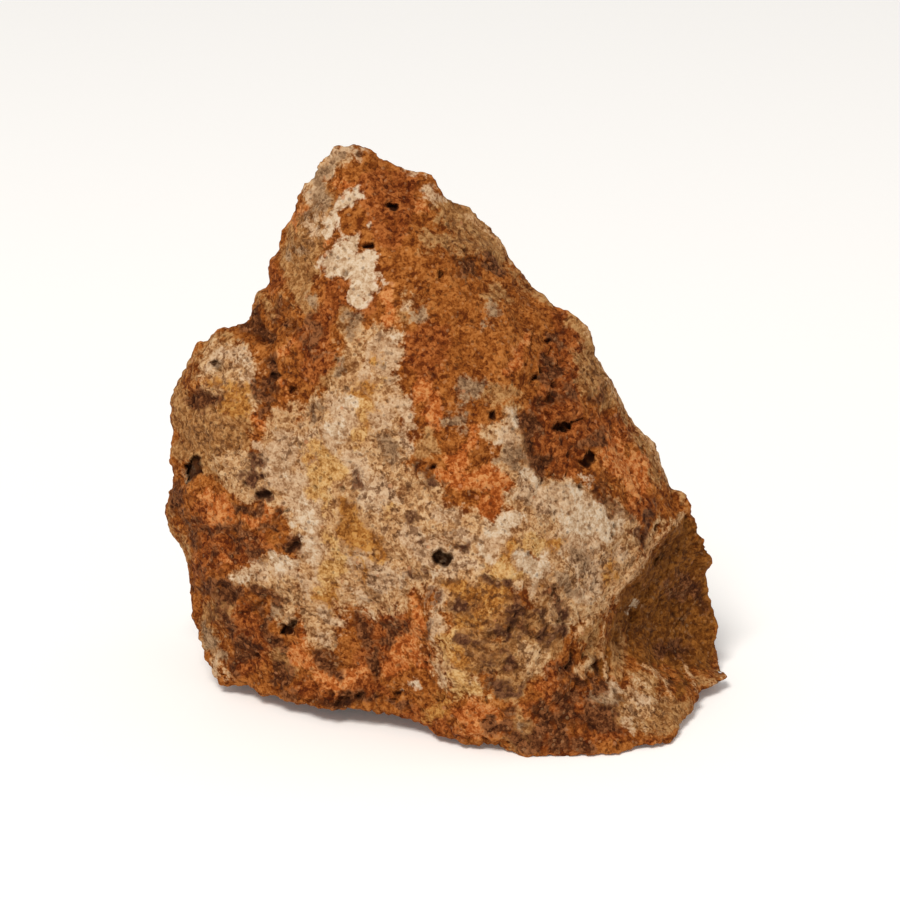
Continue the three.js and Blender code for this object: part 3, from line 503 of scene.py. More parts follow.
        ((-31, 42.2, 0.7), (-29, 43, 1), (-27.7, 42, 1), (-27.2, 41, 0.6)),
        ((-28.3, 39, 0.8), (-27.5, 37.5, 0.8), (-27.2, 35.8, 0.6)),
        ((9.3, 41.6, 1.6), (11.3, 42.6, 1.9), (13.2, 43.4, 1.4)),
        ((6.5, 37, 1.2), (7.3, 35.5, 0.9)),
        ((14.8, 35, 1.6), (16.5, 34.2, 2), (18.8, 34.3, 1.6), (18.2, 33, 1.1)),
        ((15.3, 52.5, 1.1), (16.2, 51, 0.7)),
        ((24.3, 42.6, 2.2), (26, 44.2, 2), (29, 43.4, 2.5), (29.5, 45.3, 1.6)),
        ((31.5, 41.5, 1.7), (29, 40.8, 1.7), (26.5, 41, 1.4)),
        ((25.5, 48, 0.9)),
        ((9.8, 58.6, 0.6), (8.7, 57.7, 0.5)),
        ((13.8, 61.8, 0.8)),
        ((-34.6, 35.7, 0.6), (-33.3, 34.3, 0.8), (-31.6, 33, 0.8)),
        ((-42.7, 31.7, 0.6), (-41, 31, 0.6)),
        ((-1.8, 34, 0.5), (-2.8, 31, 0.7)),
        ((-41.5, 74.3, 0.7),),
        ((27.5, 51.2, 0.5), (28.2, 50.8, 0.5)),
        ((-6.3, 10.3, 0.5), (-7.3, 10.2, 0.4)),
        ((2.3, 11, 0.5), (3.3, 10.8, 0.4)),
        ((36.8, 26.2, 0.9), (37.5, 25.8, 0.7)),
    ),
    Stain.PLUM: (
        ((7, 31.5, 0.7), (9.5, 31, 0.9), (11.5, 30.3, 0.8)),
        ((39, 44, 0.9), (41, 43.5, 0.9), (38.3, 41.5, 1), (38.3, 39, 1), (37.8, 37.5, 0.6)),
        ((40.5, 46.5, 0.8)),
        ((2, 25.5, 0.9), (3.8, 24.5, 0.9), (3.5, 26.8, 0.6), (5.5, 28.5, 0.6)),
        ((8, 20, 0.7), (10.5, 20.6, 0.8), (12.3, 21.8, 0.9), (13.5, 23.5, 0.9), (15.2, 26, 0.6)),
        ((15.5, 21.5, 0.8), (19, 20.3, 0.8), (20.5, 19.5, 0.6), (22.5, 21.3, 0.8)),
        ((22, 24.5, 0.7), (22, 23, 0.6)),
        ((1.3, 19, 0.8), (4.5, 18.8, 0.7), (6.5, 18.5, 0.5)),
        ((8, 16.5, 0.4), (6.8, 14.5, 0.5), (8, 12.5, 0.5)),
        ((11.5, 14, 0.6), (10.5, 16.5, 0.4)),
        ((9, 10.5, 0.4), (10.5, 8.5, 0.5), (12.5, 9.3, 0.4), (15, 9.3, 0.4)),
        ((-5.3, 51.3, 0.6), (-4.2, 49.5, 0.5), (-5.2, 54, 0.6)),
        ((-12.3, 42.2, 0.6), (-13.3, 40.8, 0.5)),
        ((-8, 44.7, 0.6), (-7, 42.3, 0.5)),
        ((-4.6, 38, 0.5),),
        ((1.8, 38.3, 0.6),),
        ((-5.5, 31.5, 0.8), (-7.5, 32, 0.6)),
        ((-3.6, 28, 0.6), (-3.8, 26.4, 0.4)),
        ((-40, 55.4, 0.9), (-38, 54.6, 0.9)),
        ((-41.5, 52.2, 0.8), (-39.5, 51.5, 1), (-37.2, 51.9, 0.9)),
        ((-38, 48.6, 1), (-36.2, 48.3, 0.8)),
        ((-18.5, 49.2, 0.4), (-19, 52, 0.3)),
        ((-17, 28.5, 0.5), (-14.5, 27.3, 0.6), (-13.5, 26.6, 0.5)),
        ((-5, 22.5, 0.4), (-4.8, 19.5, 0.4)),
        ((17, 26.8, 0.6), (18, 22.5, 0.7)),
    ),
    # Pale lines on the ridges and the right edge: partly wear, and partly a painted highlight where the edges
    # catch the light.
    Stain.WORN_AND_LIT: (
        ((46.5, 44.5, 0.4), (43.5, 41, 0.5), (41, 38.5, 0.5), (39, 35.5, 0.5), (37.3, 33.2, 0.6)),
        ((37.3, 33.2, 0.6), (35, 30.8, 0.5), (33, 28.8, 0.6), (31.8, 27, 0.5), (31.3, 24, 0.3)),
        ((30, 24, 0.3), (27.5, 22.2, 0.3), (25.5, 20.5, 0.4), (24.3, 18.5, 0.3)),
        ((31.3, 24, 0.3), (30.3, 20, 0.2), (30.4, 16, 0.3), (31.3, 11.5, 0.3)),
        ((38.5, 14.3, 0.3), (41, 12.5, 0.3), (43.3, 10, 0.4), (44.6, 7, 0.3)),
        ((47, 14, 0.3), (48.5, 11, 0.4), (49.3, 8.5, 0.3)),
        ((52, 10.3, 0.3), (54.5, 11.5, 0.4)),
        ((29.5, 76, 0.4), (32, 70.5, 0.4), (34.5, 66, 0.5), (38, 61, 0.4), (40.5, 58, 0.5)),
        ((41, 57, 0.6), (43.5, 51, 0.4), (46, 49, 0.6)),
        ((27, 82, 0.4), (28.6, 79, 0.4)),
        ((3, 104, 0.4), (8.5, 100.5, 0.6), (11, 97.5, 0.5), (12.5, 94, 0.3)),
    ),
}


# ---- The stone's relief -------------------------------------------------------------------------------


@dataclass(frozen=True)
class Mark:
    """A pit, groove, rib or clast on the show side.

    Attributes:
        stroke: where it runs, and how wide it is.
        height: how far it stands up, or how deep it is if below zero, in mm.
        wall: how wide its wall is, in mm.
    """

    stroke: Stroke
    height: float
    wall: float = 0.5


MARKS: tuple[Mark, ...] = (
    # Pits.
    Mark(((-17.0, 97.6, 0.4), (-15.6, 97.9, 0.5)), -2.0),
    Mark(((-11.9, 105.8, 0.8), (-10.9, 105.5, 0.9)), -2.2),
    Mark(((-2, 92.1, 0.7),), -1.6),
    Mark(((-32.2, 81.6, 0.35), (-31.2, 81.2, 0.35)), -0.9),
    Mark(((-35.2, 72, 0.8),), -1.5),
    Mark(((-22.5, 75.3, 0.5),), -0.6),
    Mark(((-31.7, 69, 0.7),), -1.4),
    Mark(((-46.8, 74.2, 0.8), (-45.8, 73.2, 0.6)), -1.3),
    Mark(((-52, 51.5, 0.8), (-51.3, 53.4, 1.7), (-50.6, 55.4, 0.8)), -3.0),
    Mark(((-38.2, 47.9, 0.7), (-36.4, 48.2, 0.8)), -1.5),
    Mark(((-38, 54.6, 0.35),), -0.6),
    Mark(((-33.4, 44.8, 0.3), (-32.6, 45.1, 0.4)), -0.9),
    Mark(((-31.8, 37.2, 0.8), (-30.6, 38, 0.8)), -1.2),
    Mark(((-42, 24.3, 0.3), (-39.5, 25, 0.4), (-37.2, 26.6, 0.5)), -0.8, 0.8),
    Mark(((-33.4, 20.7, 0.8), (-32.1, 21, 1), (-31.4, 22.3, 0.7)), -2.5),
    Mark(((-10.8, 8, 0.5), (-10.1, 8.2, 0.5)), -1.2),
    Mark(((-1.9, 35.4, 1.5), (-1.1, 35.1, 1.6)), -3.4),
    Mark(((-18.2, 47.4, 0.45),), -0.8),
    Mark(((-3.4, 53.7, 0.6),), -1.2),
    Mark(((8.4, 63.5, 0.5), (8.6, 64.4, 0.55)), -1.8),
    Mark(((21.3, 61.5, 0.9), (22.8, 61.7, 1), (23.8, 61.9, 0.6)), -2.8),
    Mark(((24.6, 62.6, 0.3), (26.4, 63.2, 0.4)), -1.0),
    Mark(((27.2, 54.4, 0.9), (28, 55.4, 1.2)), -2.6),
    Mark(((19.8, 78.9, 0.7),), -1.5),
    Mark(((17.1, 71.6, 0.7),), -1.4),
    Mark(((21, 70.3, 0.6),), -1.2),
    Mark(((20.3, 67, 0.7), (20.3, 68.2, 0.5)), -1.2),
    Mark(((10.1, 45.1, 0.25),), -0.5),
    Mark(((11.7, 45, 0.25),), -0.5),
    Mark(((7.6, 31.3, 0.4), (8.6, 31.2, 0.35)), -0.7),
    Mark(((20.5, 28.2, 0.4), (20.8, 29.2, 0.35)), -0.9),
    Mark(((22, 24.2, 0.35), (22.2, 25.4, 0.3)), -0.7),
    Mark(((43.2, 38.4, 0.35), (42.2, 36, 0.35), (41, 34.2, 0.4)), -1.2),
    Mark(((43.8, 11, 0.5), (44.8, 9.8, 0.4)), -1.5),
    Mark(((46.5, 11.5, 0.4), (47.6, 9.8, 0.35)), -1.1),
    # Grooves and hollows.
    Mark(((-51, 67, 1.6), (-48, 67, 1.7)), -1.5, 1.8),
    Mark(((-38.6, 81.5, 0.6), (-38.4, 79.8, 0.9), (-37.2, 78.9, 0.6)), -0.9, 1.2),
    Mark(((4.5, 48.6, 0.2), (7.4, 49.4, 0.25)), -0.5, 0.3),
    Mark(((-45, 27.8, 2.5),), -1.0, 1.8),
    Mark(((-20.5, 45.5, 1.5), (-20.5, 41.5, 1.8)), -1.0, 1.8),
    Mark(((-23.5, 96, 0.5), (-25.5, 98.5, 0.4)), -0.4, 0.5),
    Mark(((-22, 6.6, 0.9), (-18.5, 6.8, 0.9)), -1.4, 0.9),
    Mark(((16.8, 63, 0.6), (15.8, 58.5, 0.6), (16.8, 55.5, 0.6), (18.8, 52.5, 0.5)), -0.5, 0.9),
    Mark(((18, 50.5, 0.3), (22, 50, 0.3), (26, 49.7, 0.3), (29.5, 48.5, 0.3), (32.5, 44.8, 0.3)), -0.5, 0.7),
    Mark(((1, 95, 0.4), (5, 95.2, 0.4), (9, 93, 0.5)), -0.8, 0.8),
    Mark(((31, 69.5, 0.3), (31.8, 68, 0.3)), -0.6, 0.5),
    Mark(((-43, 45, 0.4), (-39.5, 45.6, 0.5)), -0.8, 0.7),
    Mark(((-34, 44.5, 0.4), (-37, 41.8, 0.4)), -0.8, 0.7),
    Mark(((7.5, 19.7, 0.5), (11.5, 20.8, 0.6), (13.5, 22.8, 0.5)), -0.8, 0.9),
    Mark(((-14.9, 17.5, 0.3), (-14.8, 12, 0.4)), -0.6, 0.6),
    Mark(((28.6, 15.5, 0.5), (29.5, 12, 0.7)), -1.2, 0.9),
    Mark(((24.6, 16.5, 0.5), (23.8, 13.5, 0.5)), -0.9, 0.7),
    Mark(((45, 17, 2.0), (41, 18.5, 2.0)), -1.0, 2.0),
    # Ribs and lips.
    Mark(((46.5, 44.5, 0.3), (43.5, 41, 0.4), (39, 35.5, 0.4), (35, 30.8, 0.4), (31.8, 27, 0.4)), 0.7, 1.0),
    Mark(((47.5, 41, 1.4), (44.5, 37, 1.6), (41, 32.5, 1.6), (37.5, 28.5, 1.6), (35, 24.5, 1.8)), -1.3, 1.6),
    Mark(((35, 24.5, 1.8), (34.2, 20.5, 1.6), (34.5, 17, 1.2)), -1.3, 1.6),
    Mark(((30, 24, 0.4), (27.5, 22.2, 0.4), (24.3, 18.5, 0.4)), 0.5, 0.6),
    Mark(((31.3, 24, 0.4), (30.3, 20, 0.4), (30.4, 16, 0.4), (31.3, 11.5, 0.4)), 0.8, 0.8),
    Mark(((38.5, 14.3, 0.4), (41, 12.5, 0.5), (43.3, 10, 0.5), (44.6, 7, 0.4)), 0.9, 0.7),
    Mark(((47, 14, 0.4), (48.5, 11, 0.6), (49.3, 8.5, 0.5)), 0.8, 0.7),
    Mark(((-33.5, 66, 0.5), (-34.8, 61, 0.6)), 0.5, 0.7),
    # Clasts.
    Mark(((-5.6, 106, 0.9), (-5.6, 104.5, 0.7)), 0.6, 0.8),
    Mark(((20.3, 77.7, 0.8),), 0.6, 0.7),
    Mark(((17.8, 73, 0.7),), 0.6, 0.6),
    Mark(((19.6, 65.4, 1.0),), 0.8, 0.9),
    Mark(((21.2, 63.4, 0.6), (23.8, 63.8, 0.5)), 0.9, 0.6),
    Mark(((27.8, 15.2, 0.7), (26.3, 11.7, 0.9)), 1.0, 0.7),
    Mark(((36.2, 2.5, 0.9),), 0.5, 0.8),
    Mark(((-24.3, 86.2, 0.9),), 0.4, 0.8),
    Mark(((-1.4, 46.2, 1.7),), 0.4, 0.8),
    Mark(((-1.7, 34.7, 0.5),), 1.8, 0.5),
)

TIPS: tuple[Stroke, ...] = (
    ((51.5, 10.8, 1), (55.2, 12, 0.9), (54, 14.3, 0.7), (52.8, 17, 0.6)),
    ((52, 34, 0.6),),
    ((50.5, 31, 0.6),),
    ((53.5, 21.5, 0.6),),
)
"""The thin tips of the right edge."""


class Noise:
    """Seeded noise over many points at once."""

    COUNT = 256  # entries in each table, a power of two
    AXIS_SHIFT = 40.0  # how far apart the three parts of a push are read, in mm
    FAR = 9.0  # farther than any seed, in sizes

    def __init__(self, seed: int) -> None:
        """Draws the tables.

        Args:
            seed: the number that every table comes from.
        """
        draw = np.random.default_rng(seed)
        self.order = draw.permutation(self.COUNT)
        slopes = draw.normal(size=(self.COUNT, 3))
        self.slopes = slopes / np.linalg.norm(slopes, axis=1, keepdims=True)
        self.jitter = draw.random((self.COUNT, 3))
        self.lot = draw.random(self.COUNT)

    def _lookup(self, cells: np.ndarray) -> np.ndarray:
        """An entry's number for each cell."""
        last = self.COUNT - 1
        first = self.order[cells[:, 0] & last]
        second = self.order[(first + cells[:, 1]) & last]
        return self.order[(second + cells[:, 2]) & last]

    def smooth(self, points: np.ndarray, size: float) -> np.ndarray:
        """Gradient noise.

        Args:
            points: where it is wanted, in mm.
            size: how far apart its slopes are drawn, in mm.

        Returns:
            A height for each point, mostly within 0.5 of zero.
        """
        scaled = points / size
        base = np.floor(scaled).astype(np.int64)
        within = scaled - base
        ease = within**3 * (within * (within * 6.0 - 15.0) + 10.0)  # no kink where cells meet
        total = np.zeros(len(points))
        for corner in itertools.product((0, 1), repeat=3):
            weight = np.prod(np.where(corner, ease, 1.0 - ease), axis=1)
            slope = self.slopes[self._lookup(base + corner)]
            total += weight * np.einsum("ij,ij->i", slope, within - corner)
        return total

    def push(self, points: np.ndarray, size: float, reach: float) -> np.ndarray:
        """A push in each direction.

        Args:
            points: where it is wanted, in mm.
            size: how far apart its slopes are drawn, in mm.
            reach: its strength, in mm.

        Returns:
            A vector for each point.
        """
        parts = [self.smooth(points + self.AXIS_SHIFT * axis, size) for axis in range(3)]
        return reach * np.stack(parts, axis=1)

    def cells(self, points: np.ndarray, size: float) -> tuple[np.ndarray, np.ndarray]:
        """Cells round scattered seeds.

        Args:
            points: where they are wanted, in mm.
            size: how far apart the seeds are, in mm.

        Returns:
            The distance to the nearest seed, in sizes, and that seed's own lot from 0 to 1.
        """
        scaled = points / size
        base = np.floor(scaled).astype(np.int64)
        nearest = np.full(len(points), self.FAR)
        lot = np.zeros(len(points))
        for step in itertools.product((-1, 0, 1), repeat=3):
            cell = base + step
            number = self._lookup(cell)
            distance = np.linalg.norm(cell + self.jitter[number] - scaled, axis=1)
            closer = distance < nearest
            lot = np.where(closer, self.lot[number], lot)
            nearest = np.where(closer, distance, nearest)
        return nearest, lot


@dataclass(frozen=True)
class Board:
    """The leaning board on which the show side is drawn.

    Attributes:
        centre: the place of its middle line, along X.
        foot: the place of its lower edge, along Y.
        lean: how far it leans back from upright, in degrees.
        aim: how far up it the camera looks.
        reach: how far the camera stands off, square to it.
    """

    centre: float = 0.687
    foot: float = -28.23
    lean: float = 20.0
    aim: float = 57.0
    reach: float = 800.0

    @property
    def upward(self) -> np.ndarray:
        """The direction up the board."""
        return np.array([0.0, math.sin(math.radians(self.lean)), math.cos(math.radians(self.lean))])

    @property
    def outward(self) -> np.ndarray:
        """The direction that the board faces."""
        return np.array([0.0, -math.cos(math.radians(self.lean)), math.sin(math.radians(self.lean))])

    def place(self, across: float, up: float, proud: float = 0.0) -> np.ndarray:
        """A place on or before the board, in the frame of the solid."""
        foot = np.array([self.centre + across, self.foot, 0.0])
        return foot + up * self.upward + proud * self.outward

    def apparent(self, points: np.ndarray) -> np.ndarray:
        """Where points seem to lie on the board from the viewing place.

        Args:
            points: points in the frame of the solid.

        Returns:
            Across and up for each of them.
        """
        offset = points - self.place(0.0, self.aim)
        scale = self.reach / (self.reach - offset @ self.outward)
        return np.stack([offset[:, 0] * scale, self.aim + (offset @ self.upward) * scale], axis=1)


def depth_near(places: np.ndarray, stroke: Stroke, reach: float) -> tuple[np.ndarray, np.ndarray]:
    """How far places lie within a stroke.

    Args:
        places: across and up for each place.
        stroke: the stroke's points, with the radius at each.
        reach: how far outside the stroke a place still counts, in mm.

    Returns:
        The numbers of the places that count, and for each of them the depth below the stroke's edge in mm,
        which is below zero outside it.
    """
    corners = np.array(stroke, float).reshape(-1, 3)
    margin = corners[:, 2].max() + reach
    low = corners[:, :2].min(axis=0) - margin
    high = corners[:, :2].max(axis=0) + margin
    near = np.flatnonzero(np.all((places > low) & (places < high), axis=1))
    close = places[near]
    depth = np.full(len(near), -reach)
    for start, end in list(zip(corners[:-1], corners[1:])) or [(corners[0], corners[0])]:
        run = end[:2] - start[:2]
        square = max(float(run @ run), TINY)
        share = np.clip((close - start[:2]) @ run / square, 0.0, 1.0)
        distance = np.linalg.norm(close - start[:2] - share[:, None] * run, axis=1)
        depth = np.maximum(depth, start[2] + share * (end[2] - start[2]) - distance)
    return near, depth


# ---- Materials ----------------------------------------------------------------------------------------


class Signal:
    """An output socket, which takes part in Python expressions as a number."""

    def __init__(self, graph: "Graph", socket: bpy.types.NodeSocket) -> None:
        """Wraps a socket of a graph."""
        self.graph = graph
        self.socket = socket

    def __add__(self, other: "Signal | float") -> "Signal":
        """This plus other."""
        return self.graph.maths("ADD", self, other)

    __radd__ = __add__

    def __sub__(self, other: "Signal | float") -> "Signal":
        """This less other."""
        return self.graph.maths("SUBTRACT", self, other)

    def __rsub__(self, other: float) -> "Signal":
        """Other less this."""
        return self.graph.maths("SUBTRACT", other, self)

    def __mul__(self, other: "Signal | float") -> "Signal":
        """This times other."""
        return self.graph.maths("MULTIPLY", self, other)

    __rmul__ = __mul__

    def rise(self, start: float, end: float) -> "Signal":
        """A smooth step from 0 where this is start to 1 where it is end."""
        step = {"Value": self, "From Min": start, "From Max": end}
        return self.graph.make("ShaderNodeMapRange", {"interpolation_type": "SMOOTHSTEP"}, step)


class Graph:
    """The nodes of one material."""

    def __init__(self, name: str) -> None:
        """Starts an empty material.

        Args:
            name: the material's name.
        """
        self.material = bpy.data.materials.new(name)
        self.material.use_nodes = True
        self.tree = self.material.node_tree
        self.tree.nodes.clear()

    def make(
        self, kind: str, settings: dict | None = None, inputs: dict | None = None, output: str = ""
    ) -> Signal:
        """Adds a node.

        Args:
            kind: the node's type.
            settings: its properties, which are set first. The stops of a ramp are (position, colour) pairs.
            inputs: a value or a link for each socket, by the socket's identifier.
            output: the identifier of the output that is wanted, or the first one.

        Returns:
            That output.
        """
        node = self.tree.nodes.new(kind)
        for name, value in (settings or {}).items():
            if name == "stops":
                self._set_stops(node.color_ramp, value)
            else:
                setattr(node, name, value)
        sockets = {socket.identifier: socket for socket in node.inputs}
        for name, value in (inputs or {}).items():
            if isinstance(value, Signal):
                self.tree.links.new(value.socket, sockets[name])
            else:
                sockets[name].default_value = value
        outputs = {socket.identifier: socket for socket in node.outputs}
        first = node.outputs[0] if node.outputs else None
        return Signal(self, outputs[output] if output else first)

    @staticmethod
    def _set_stops(ramp: bpy.types.ColorRamp, stops: tuple) -> None:
        """Gives a ramp its stops."""
        while len(ramp.elements) < len(stops):
            ramp.elements.new(1.0)
        for element, (position, colour) in zip(ramp.elements, stops):
            element.position = position
            element.color = colour

    def maths(self, operation: str, first: "Signal | float", second: "Signal | float") -> Signal:
        """One Math node on two values."""
        values = {"Value": first, "Value_001": second}
        return self.make("ShaderNodeMath", {"operation": operation}, values)

    def vector(self, operation: str, inputs: dict) -> Signal:
        """One Vector Math node."""
        return self.make("ShaderNodeVectorMath", {"operation": operation}, inputs, "Vector")

    def mix(self, share: "Signal | float", under: Signal, over: "Signal | tuple") -> Signal:
        """The colour under, with a share of the colour over laid on it."""
        inputs = {"Factor_Float": share, "A_Color": under, "B_Color": over}
        return self.make("ShaderNodeMix", {"data_type": "RGBA"}, inputs, "Result_Color")

    def channel(self, colour: Signal, name: str) -> Signal:
        """The red, green or blue of a colour, as a number."""
        return self.make("ShaderNodeSeparateColor", {}, {"Color": colour}, name)

    def attribute(self, name: str) -> Signal:
        """A number that the mesh carries."""
        return self.make("ShaderNodeAttribute", {"attribute_name": name}, {}, "Fac")

    def surface(self, inputs: dict) -> bpy.types.Material:
        """Ends the graph in a Principled shader.

        Args:
            inputs: a value or a link for each of its sockets.

        Returns:
            The finished material.
        """
        shader = self.make("ShaderNodeBsdfPrincipled", {}, inputs)
        self.make("ShaderNodeOutputMaterial", {}, {"Surface": shader})
        return self.material


@dataclass(frozen=True)
class Layer:
    """A colour that lies over the stains in some places.

    Attributes:
        colour: the colour.
        span: the step that picks out its places.
        strength: how much of it lies there.
    """

    colour: Colour
    span: Span
    strength: float

    def mask(self, pattern: Signal) -> Signal:
        """How much of it lies where a pattern has some value."""
        return pattern.rise(*self.span) * self.strength


@dataclass(frozen=True)
class TuffFinish:
    """The sandy, stained ground of the tuff.

    Attributes:
        clouds: the name, the size in mm and the detail of each cloudy noise: the clouds of tone, the clusters
            of grains, the fine grit and the brown specks.
        coarseness: how strong the finer parts of each noise are.
        sand: how large the sand grains are, in mm.
        stir: the size, in grains, and the reach, in mm, of the push that keeps them from being round.
        stops: where the dark, middle and light colours of a stain stand in the range of tone.
        tone: how much each pattern shifts the tone.
        wander: how much each pattern shifts the edge of a stain, in mm.
        relief: how much each pattern lifts the finest grains.
        flake: the step that turns the clusters into flakes.
        heart: the step from the edge of a grain to its middle.
        speck: the step that picks out the brown specks.
        speck_strength: how strong they are.
        edge: how soft the edge of a stain is, in mm.
        hollow_shade_tone: how much painted shade darkens the tone in a hollow, for each mm.
        pale: the pale grains.
        dark: the dark grains.
        clast: how far apart the small clasts lie, in mm.
        clast_edge: the step at the edge of one.
        pink: the small clasts.
        crevice_shade: the painted shade in the hollows, a dark brown laid over the colour.
        pit_shade_strength: how strong that painted shade is in the pits.
        deep: the colour that lies in every tone.
        deep_share: how much of it lies there.
        bump: how tall the finest grains are, in mm.
        roughness: how matt the stone is.
        rough_grit: how much the grit changes that.
        gloss: how strongly it reflects.
    """

    clouds: tuple[tuple[str, float, float], ...] = (
        ("patch", 7.0, 2.0),
        ("mottle", 1.6, 3.0),
        ("grit", 0.5, 2.0),
        ("speck", 1.5, 3.0),
    )
    coarseness: float = 0.6
    sand: float = 0.85
    stir: tuple[float, float] = (1.6, 0.45)
    stops: tuple[float, float, float] = (0.1, 0.5, 0.92)
    tone: Weights = (("grit", 1.4), ("lot", 0.55), ("flake", 0.26), ("patch", 0.7))
    wander: Weights = (("patch", 4.0), ("mottle", 5.0), ("grit", 2.0))
    relief: Weights = (("grit", 0.9), ("grain", -0.6), ("mottle", 1.2))
    flake: Span = (0.44, 0.56)
    heart: Span = (0.5, 0.3)
    speck: Span = (0.54, 0.59)
    speck_strength: float = 0.75
    edge: float = 0.85
    # Painted shade: the tone darkens where the skin lies in a hollow.
    hollow_shade_tone: float = 0.35
    pale: Layer = Layer((216, 168, 118), (0.86, 0.92), 0.2)
    dark: Layer = Layer((64, 34, 16), (0.22, 0.14), 0.5)
    clast: float = 3.4
    clast_edge: Span = (0.16, 0.1)
    pink: Layer = Layer((190, 128, 84), (0.7, 0.75), 0.6)
    # Painted shade: a dark brown laid into the hollows and the pits, where shade falls.
    crevice_shade: Layer = Layer((38, 20, 10), (0.25, 0.9), 0.55)
    pit_shade_strength: float = 0.8
    deep: Colour = (40, 14, 4)
    deep_share: float = 0.2
    bump: float = 0.25
    roughness: float = 0.86
    rough_grit: float = 0.2
    gloss: float = 0.08

    def noise(self, graph: Graph, place: Signal, size: float, detail: float, output: str = "Fac") -> Signal:
        """Cloudy noise of one size."""
        inputs = {"Vector": place, "Scale": 1.0 / size, "Detail": detail, "Roughness": self.coarseness}
        return graph.make("ShaderNodeTexNoise", {}, inputs, output)

    def scatter(self, graph: Graph, place: Signal, size: float, output: str) -> Signal:
        """Scattered cells of one size."""
        return graph.make("ShaderNodeTexVoronoi", {}, {"Vector": place, "Scale": 1.0 / size}, output)

    def stirred(self, graph: Graph, place: Signal) -> Signal:
        """The place, pushed about a little, so that the grains aren't round."""
        size, reach = self.stir
        push = self.noise(graph, place, size * self.sand, detail=1.0, output="Color")
        even = graph.vector("SUBTRACT", {"Vector": push, "Vector_001": (MIDDLE, MIDDLE, MIDDLE)})
        far = graph.vector("SCALE", {"Vector": even, "Scale": reach})
        return graph.vector("ADD", {"Vector": place, "Vector_001": far})

    def patterns(self, graph: Graph, place: Signal) -> dict[str, Signal]:
        """The patterns of the ground.

        Args:
            graph: the material's nodes.
            place: the place on the stone, in mm.

        Returns:
            The clouds by their names, the distance to a grain's middle, and each grain's lot and kind.
        """
        found = {name: self.noise(graph, place, size, detail) for name, size, detail in self.clouds}
        stirred = self.stirred(graph, place)
        lots = self.scatter(graph, stirred, self.sand, "Color")
        found["grain"] = self.scatter(graph, stirred, self.sand, "Distance")
        found["lot"] = graph.channel(lots, "Red")
        found["kind"] = graph.channel(lots, "Green")
        found["flake"] = found["mottle"].rise(*self.flake)
        return found

    @staticmethod
    def weighed(patterns: dict[str, Signal], weights: Weights, start: float = 0.0) -> Signal:
        """The patterns' distances from their middle, added to a start by their weights."""
        return sum(((patterns[name] - MIDDLE) * weight for name, weight in weights), start)

    def stained(self, graph: Graph, patterns: dict[str, Signal], tone: Signal) -> Signal:
        """The colour of the rusty ground and of the stains over it.

        Args:
            graph: the material's nodes.
            patterns: the patterns of the ground.
            tone: how light or dark each place is.

        Returns:
            The colour.
        """
        wander = self.weighed(patterns, self.wander)
        colour = self.ramp(graph, tone, RUST)
        for stain in Stain:
            finish = FINISHES[stain]
            edge = self.edge * finish.fray
            mask = (graph.attribute(stain.value) + wander * finish.fray).rise(-edge, edge)
            if stain is Stain.SPECKLE:
                mask = mask * patterns["speck"].rise(*self.speck) * self.speck_strength
            colour = graph.mix(mask, colour, self.ramp(graph, tone, finish))
        return colour

    def ramp(self, graph: Graph, tone: Signal, finish: Finish) -> Signal:
        """The colour of one stain, from its gaps to its grains."""
        colours = (linear(finish.dark), linear(finish.mid), linear(finish.light))
        stops = tuple(zip(self.stops, colours))
        return graph.make("ShaderNodeValToRGB", {"stops": stops}, {"Fac": tone}, "Color")

    def layers(
        self, graph: Graph, patterns: dict[str, Signal], place: Signal, hollow: Signal
    ) -> list[tuple[Signal | float, Colour]]:
        """What lies over the stains.

        Args:
            graph: the material's nodes.
            patterns: the patterns of the ground.
            place: the place on the stone, in mm.
            hollow: how deep each place lies below the skin around it, in mm.

        Returns:
            How much of each layer lies there, and its colour, from the lowest layer to the highest.
        """
        heart = patterns["grain"].rise(*self.heart)
        clast = self.scatter(graph, place, self.clast, "Distance").rise(*self.clast_edge)
        lot = graph.channel(self.scatter(graph, place, self.clast, "Color"), "Red")
        return [
            (self.pale.mask(patterns["kind"]) * heart, self.pale.colour),
            (self.dark.mask(patterns["kind"]) * heart, self.dark.colour),
            (self.pink.mask(lot) * clast, self.pink.colour),
            # Painted shade in the hollows.
            (self.crevice_shade.mask(hollow), self.crevice_shade.colour),
            # Painted shade in the pits.
            (graph.attribute("pit") * self.pit_shade_strength, self.crevice_shade.colour),
            (self.deep_share, self.deep),
        ]

    def build(self) -> bpy.types.Material:
        """The material.

        Returns:
            A material that reads the stains, pits and hollows from the mesh that wears it.
        """
        graph = Graph("rhyolite_tuff")
        spot = graph.make("ShaderNodeTexCoord", {}, {}, "Object")
        place = graph.vector("SCALE", {"Vector": spot, "Scale": METRE})
        patterns = self.patterns(graph, place)
        hollow = graph.attribute("hollow")
        # The tone darkens in the hollows: painted shade.
        tone = self.weighed(patterns, self.tone, MIDDLE) - hollow * self.hollow_shade_tone
        colour = self.stained(graph, patterns, tone)
        for mask, over in self.layers(graph, patterns, place, hollow):
            colour = graph.mix(mask, colour, linear(over))
        height = self.weighed(patterns, self.relief)
        shape = {"Strength": 1.0, "Distance": self.bump / METRE, "Height": height}
        normal = graph.make("ShaderNodeBump", {}, shape, "Normal")
        rough = self.roughness + (patterns["grit"] - MIDDLE) * self.rough_grit
        look = {"Base Color": colour, "Roughness": rough, "Normal": normal, "Specular IOR Level": self.gloss}
        return graph.surface(look)


@dataclass(frozen=True)
class FloorFinish:
    """A plain pale floor.

    Attributes:
        colour: its colour.
        roughness: how matt it is.
        glow: how much light it gives off itself.
    """

    colour: Colour = (252, 251, 249)
    roughness: float = 0.7
    glow: float = 0.07

    def build(self) -> bpy.types.Material:
        """The material."""
        tint = linear(self.colour)
        look = {"Base Color": tint, "Roughness": self.roughness}
        glow = {"Emission Color": tint, "Emission Strength": self.glow}
        return Graph("pale_floor").surface(look | glow)


# ---- The stone ----------------------------------------------------------------------------------------


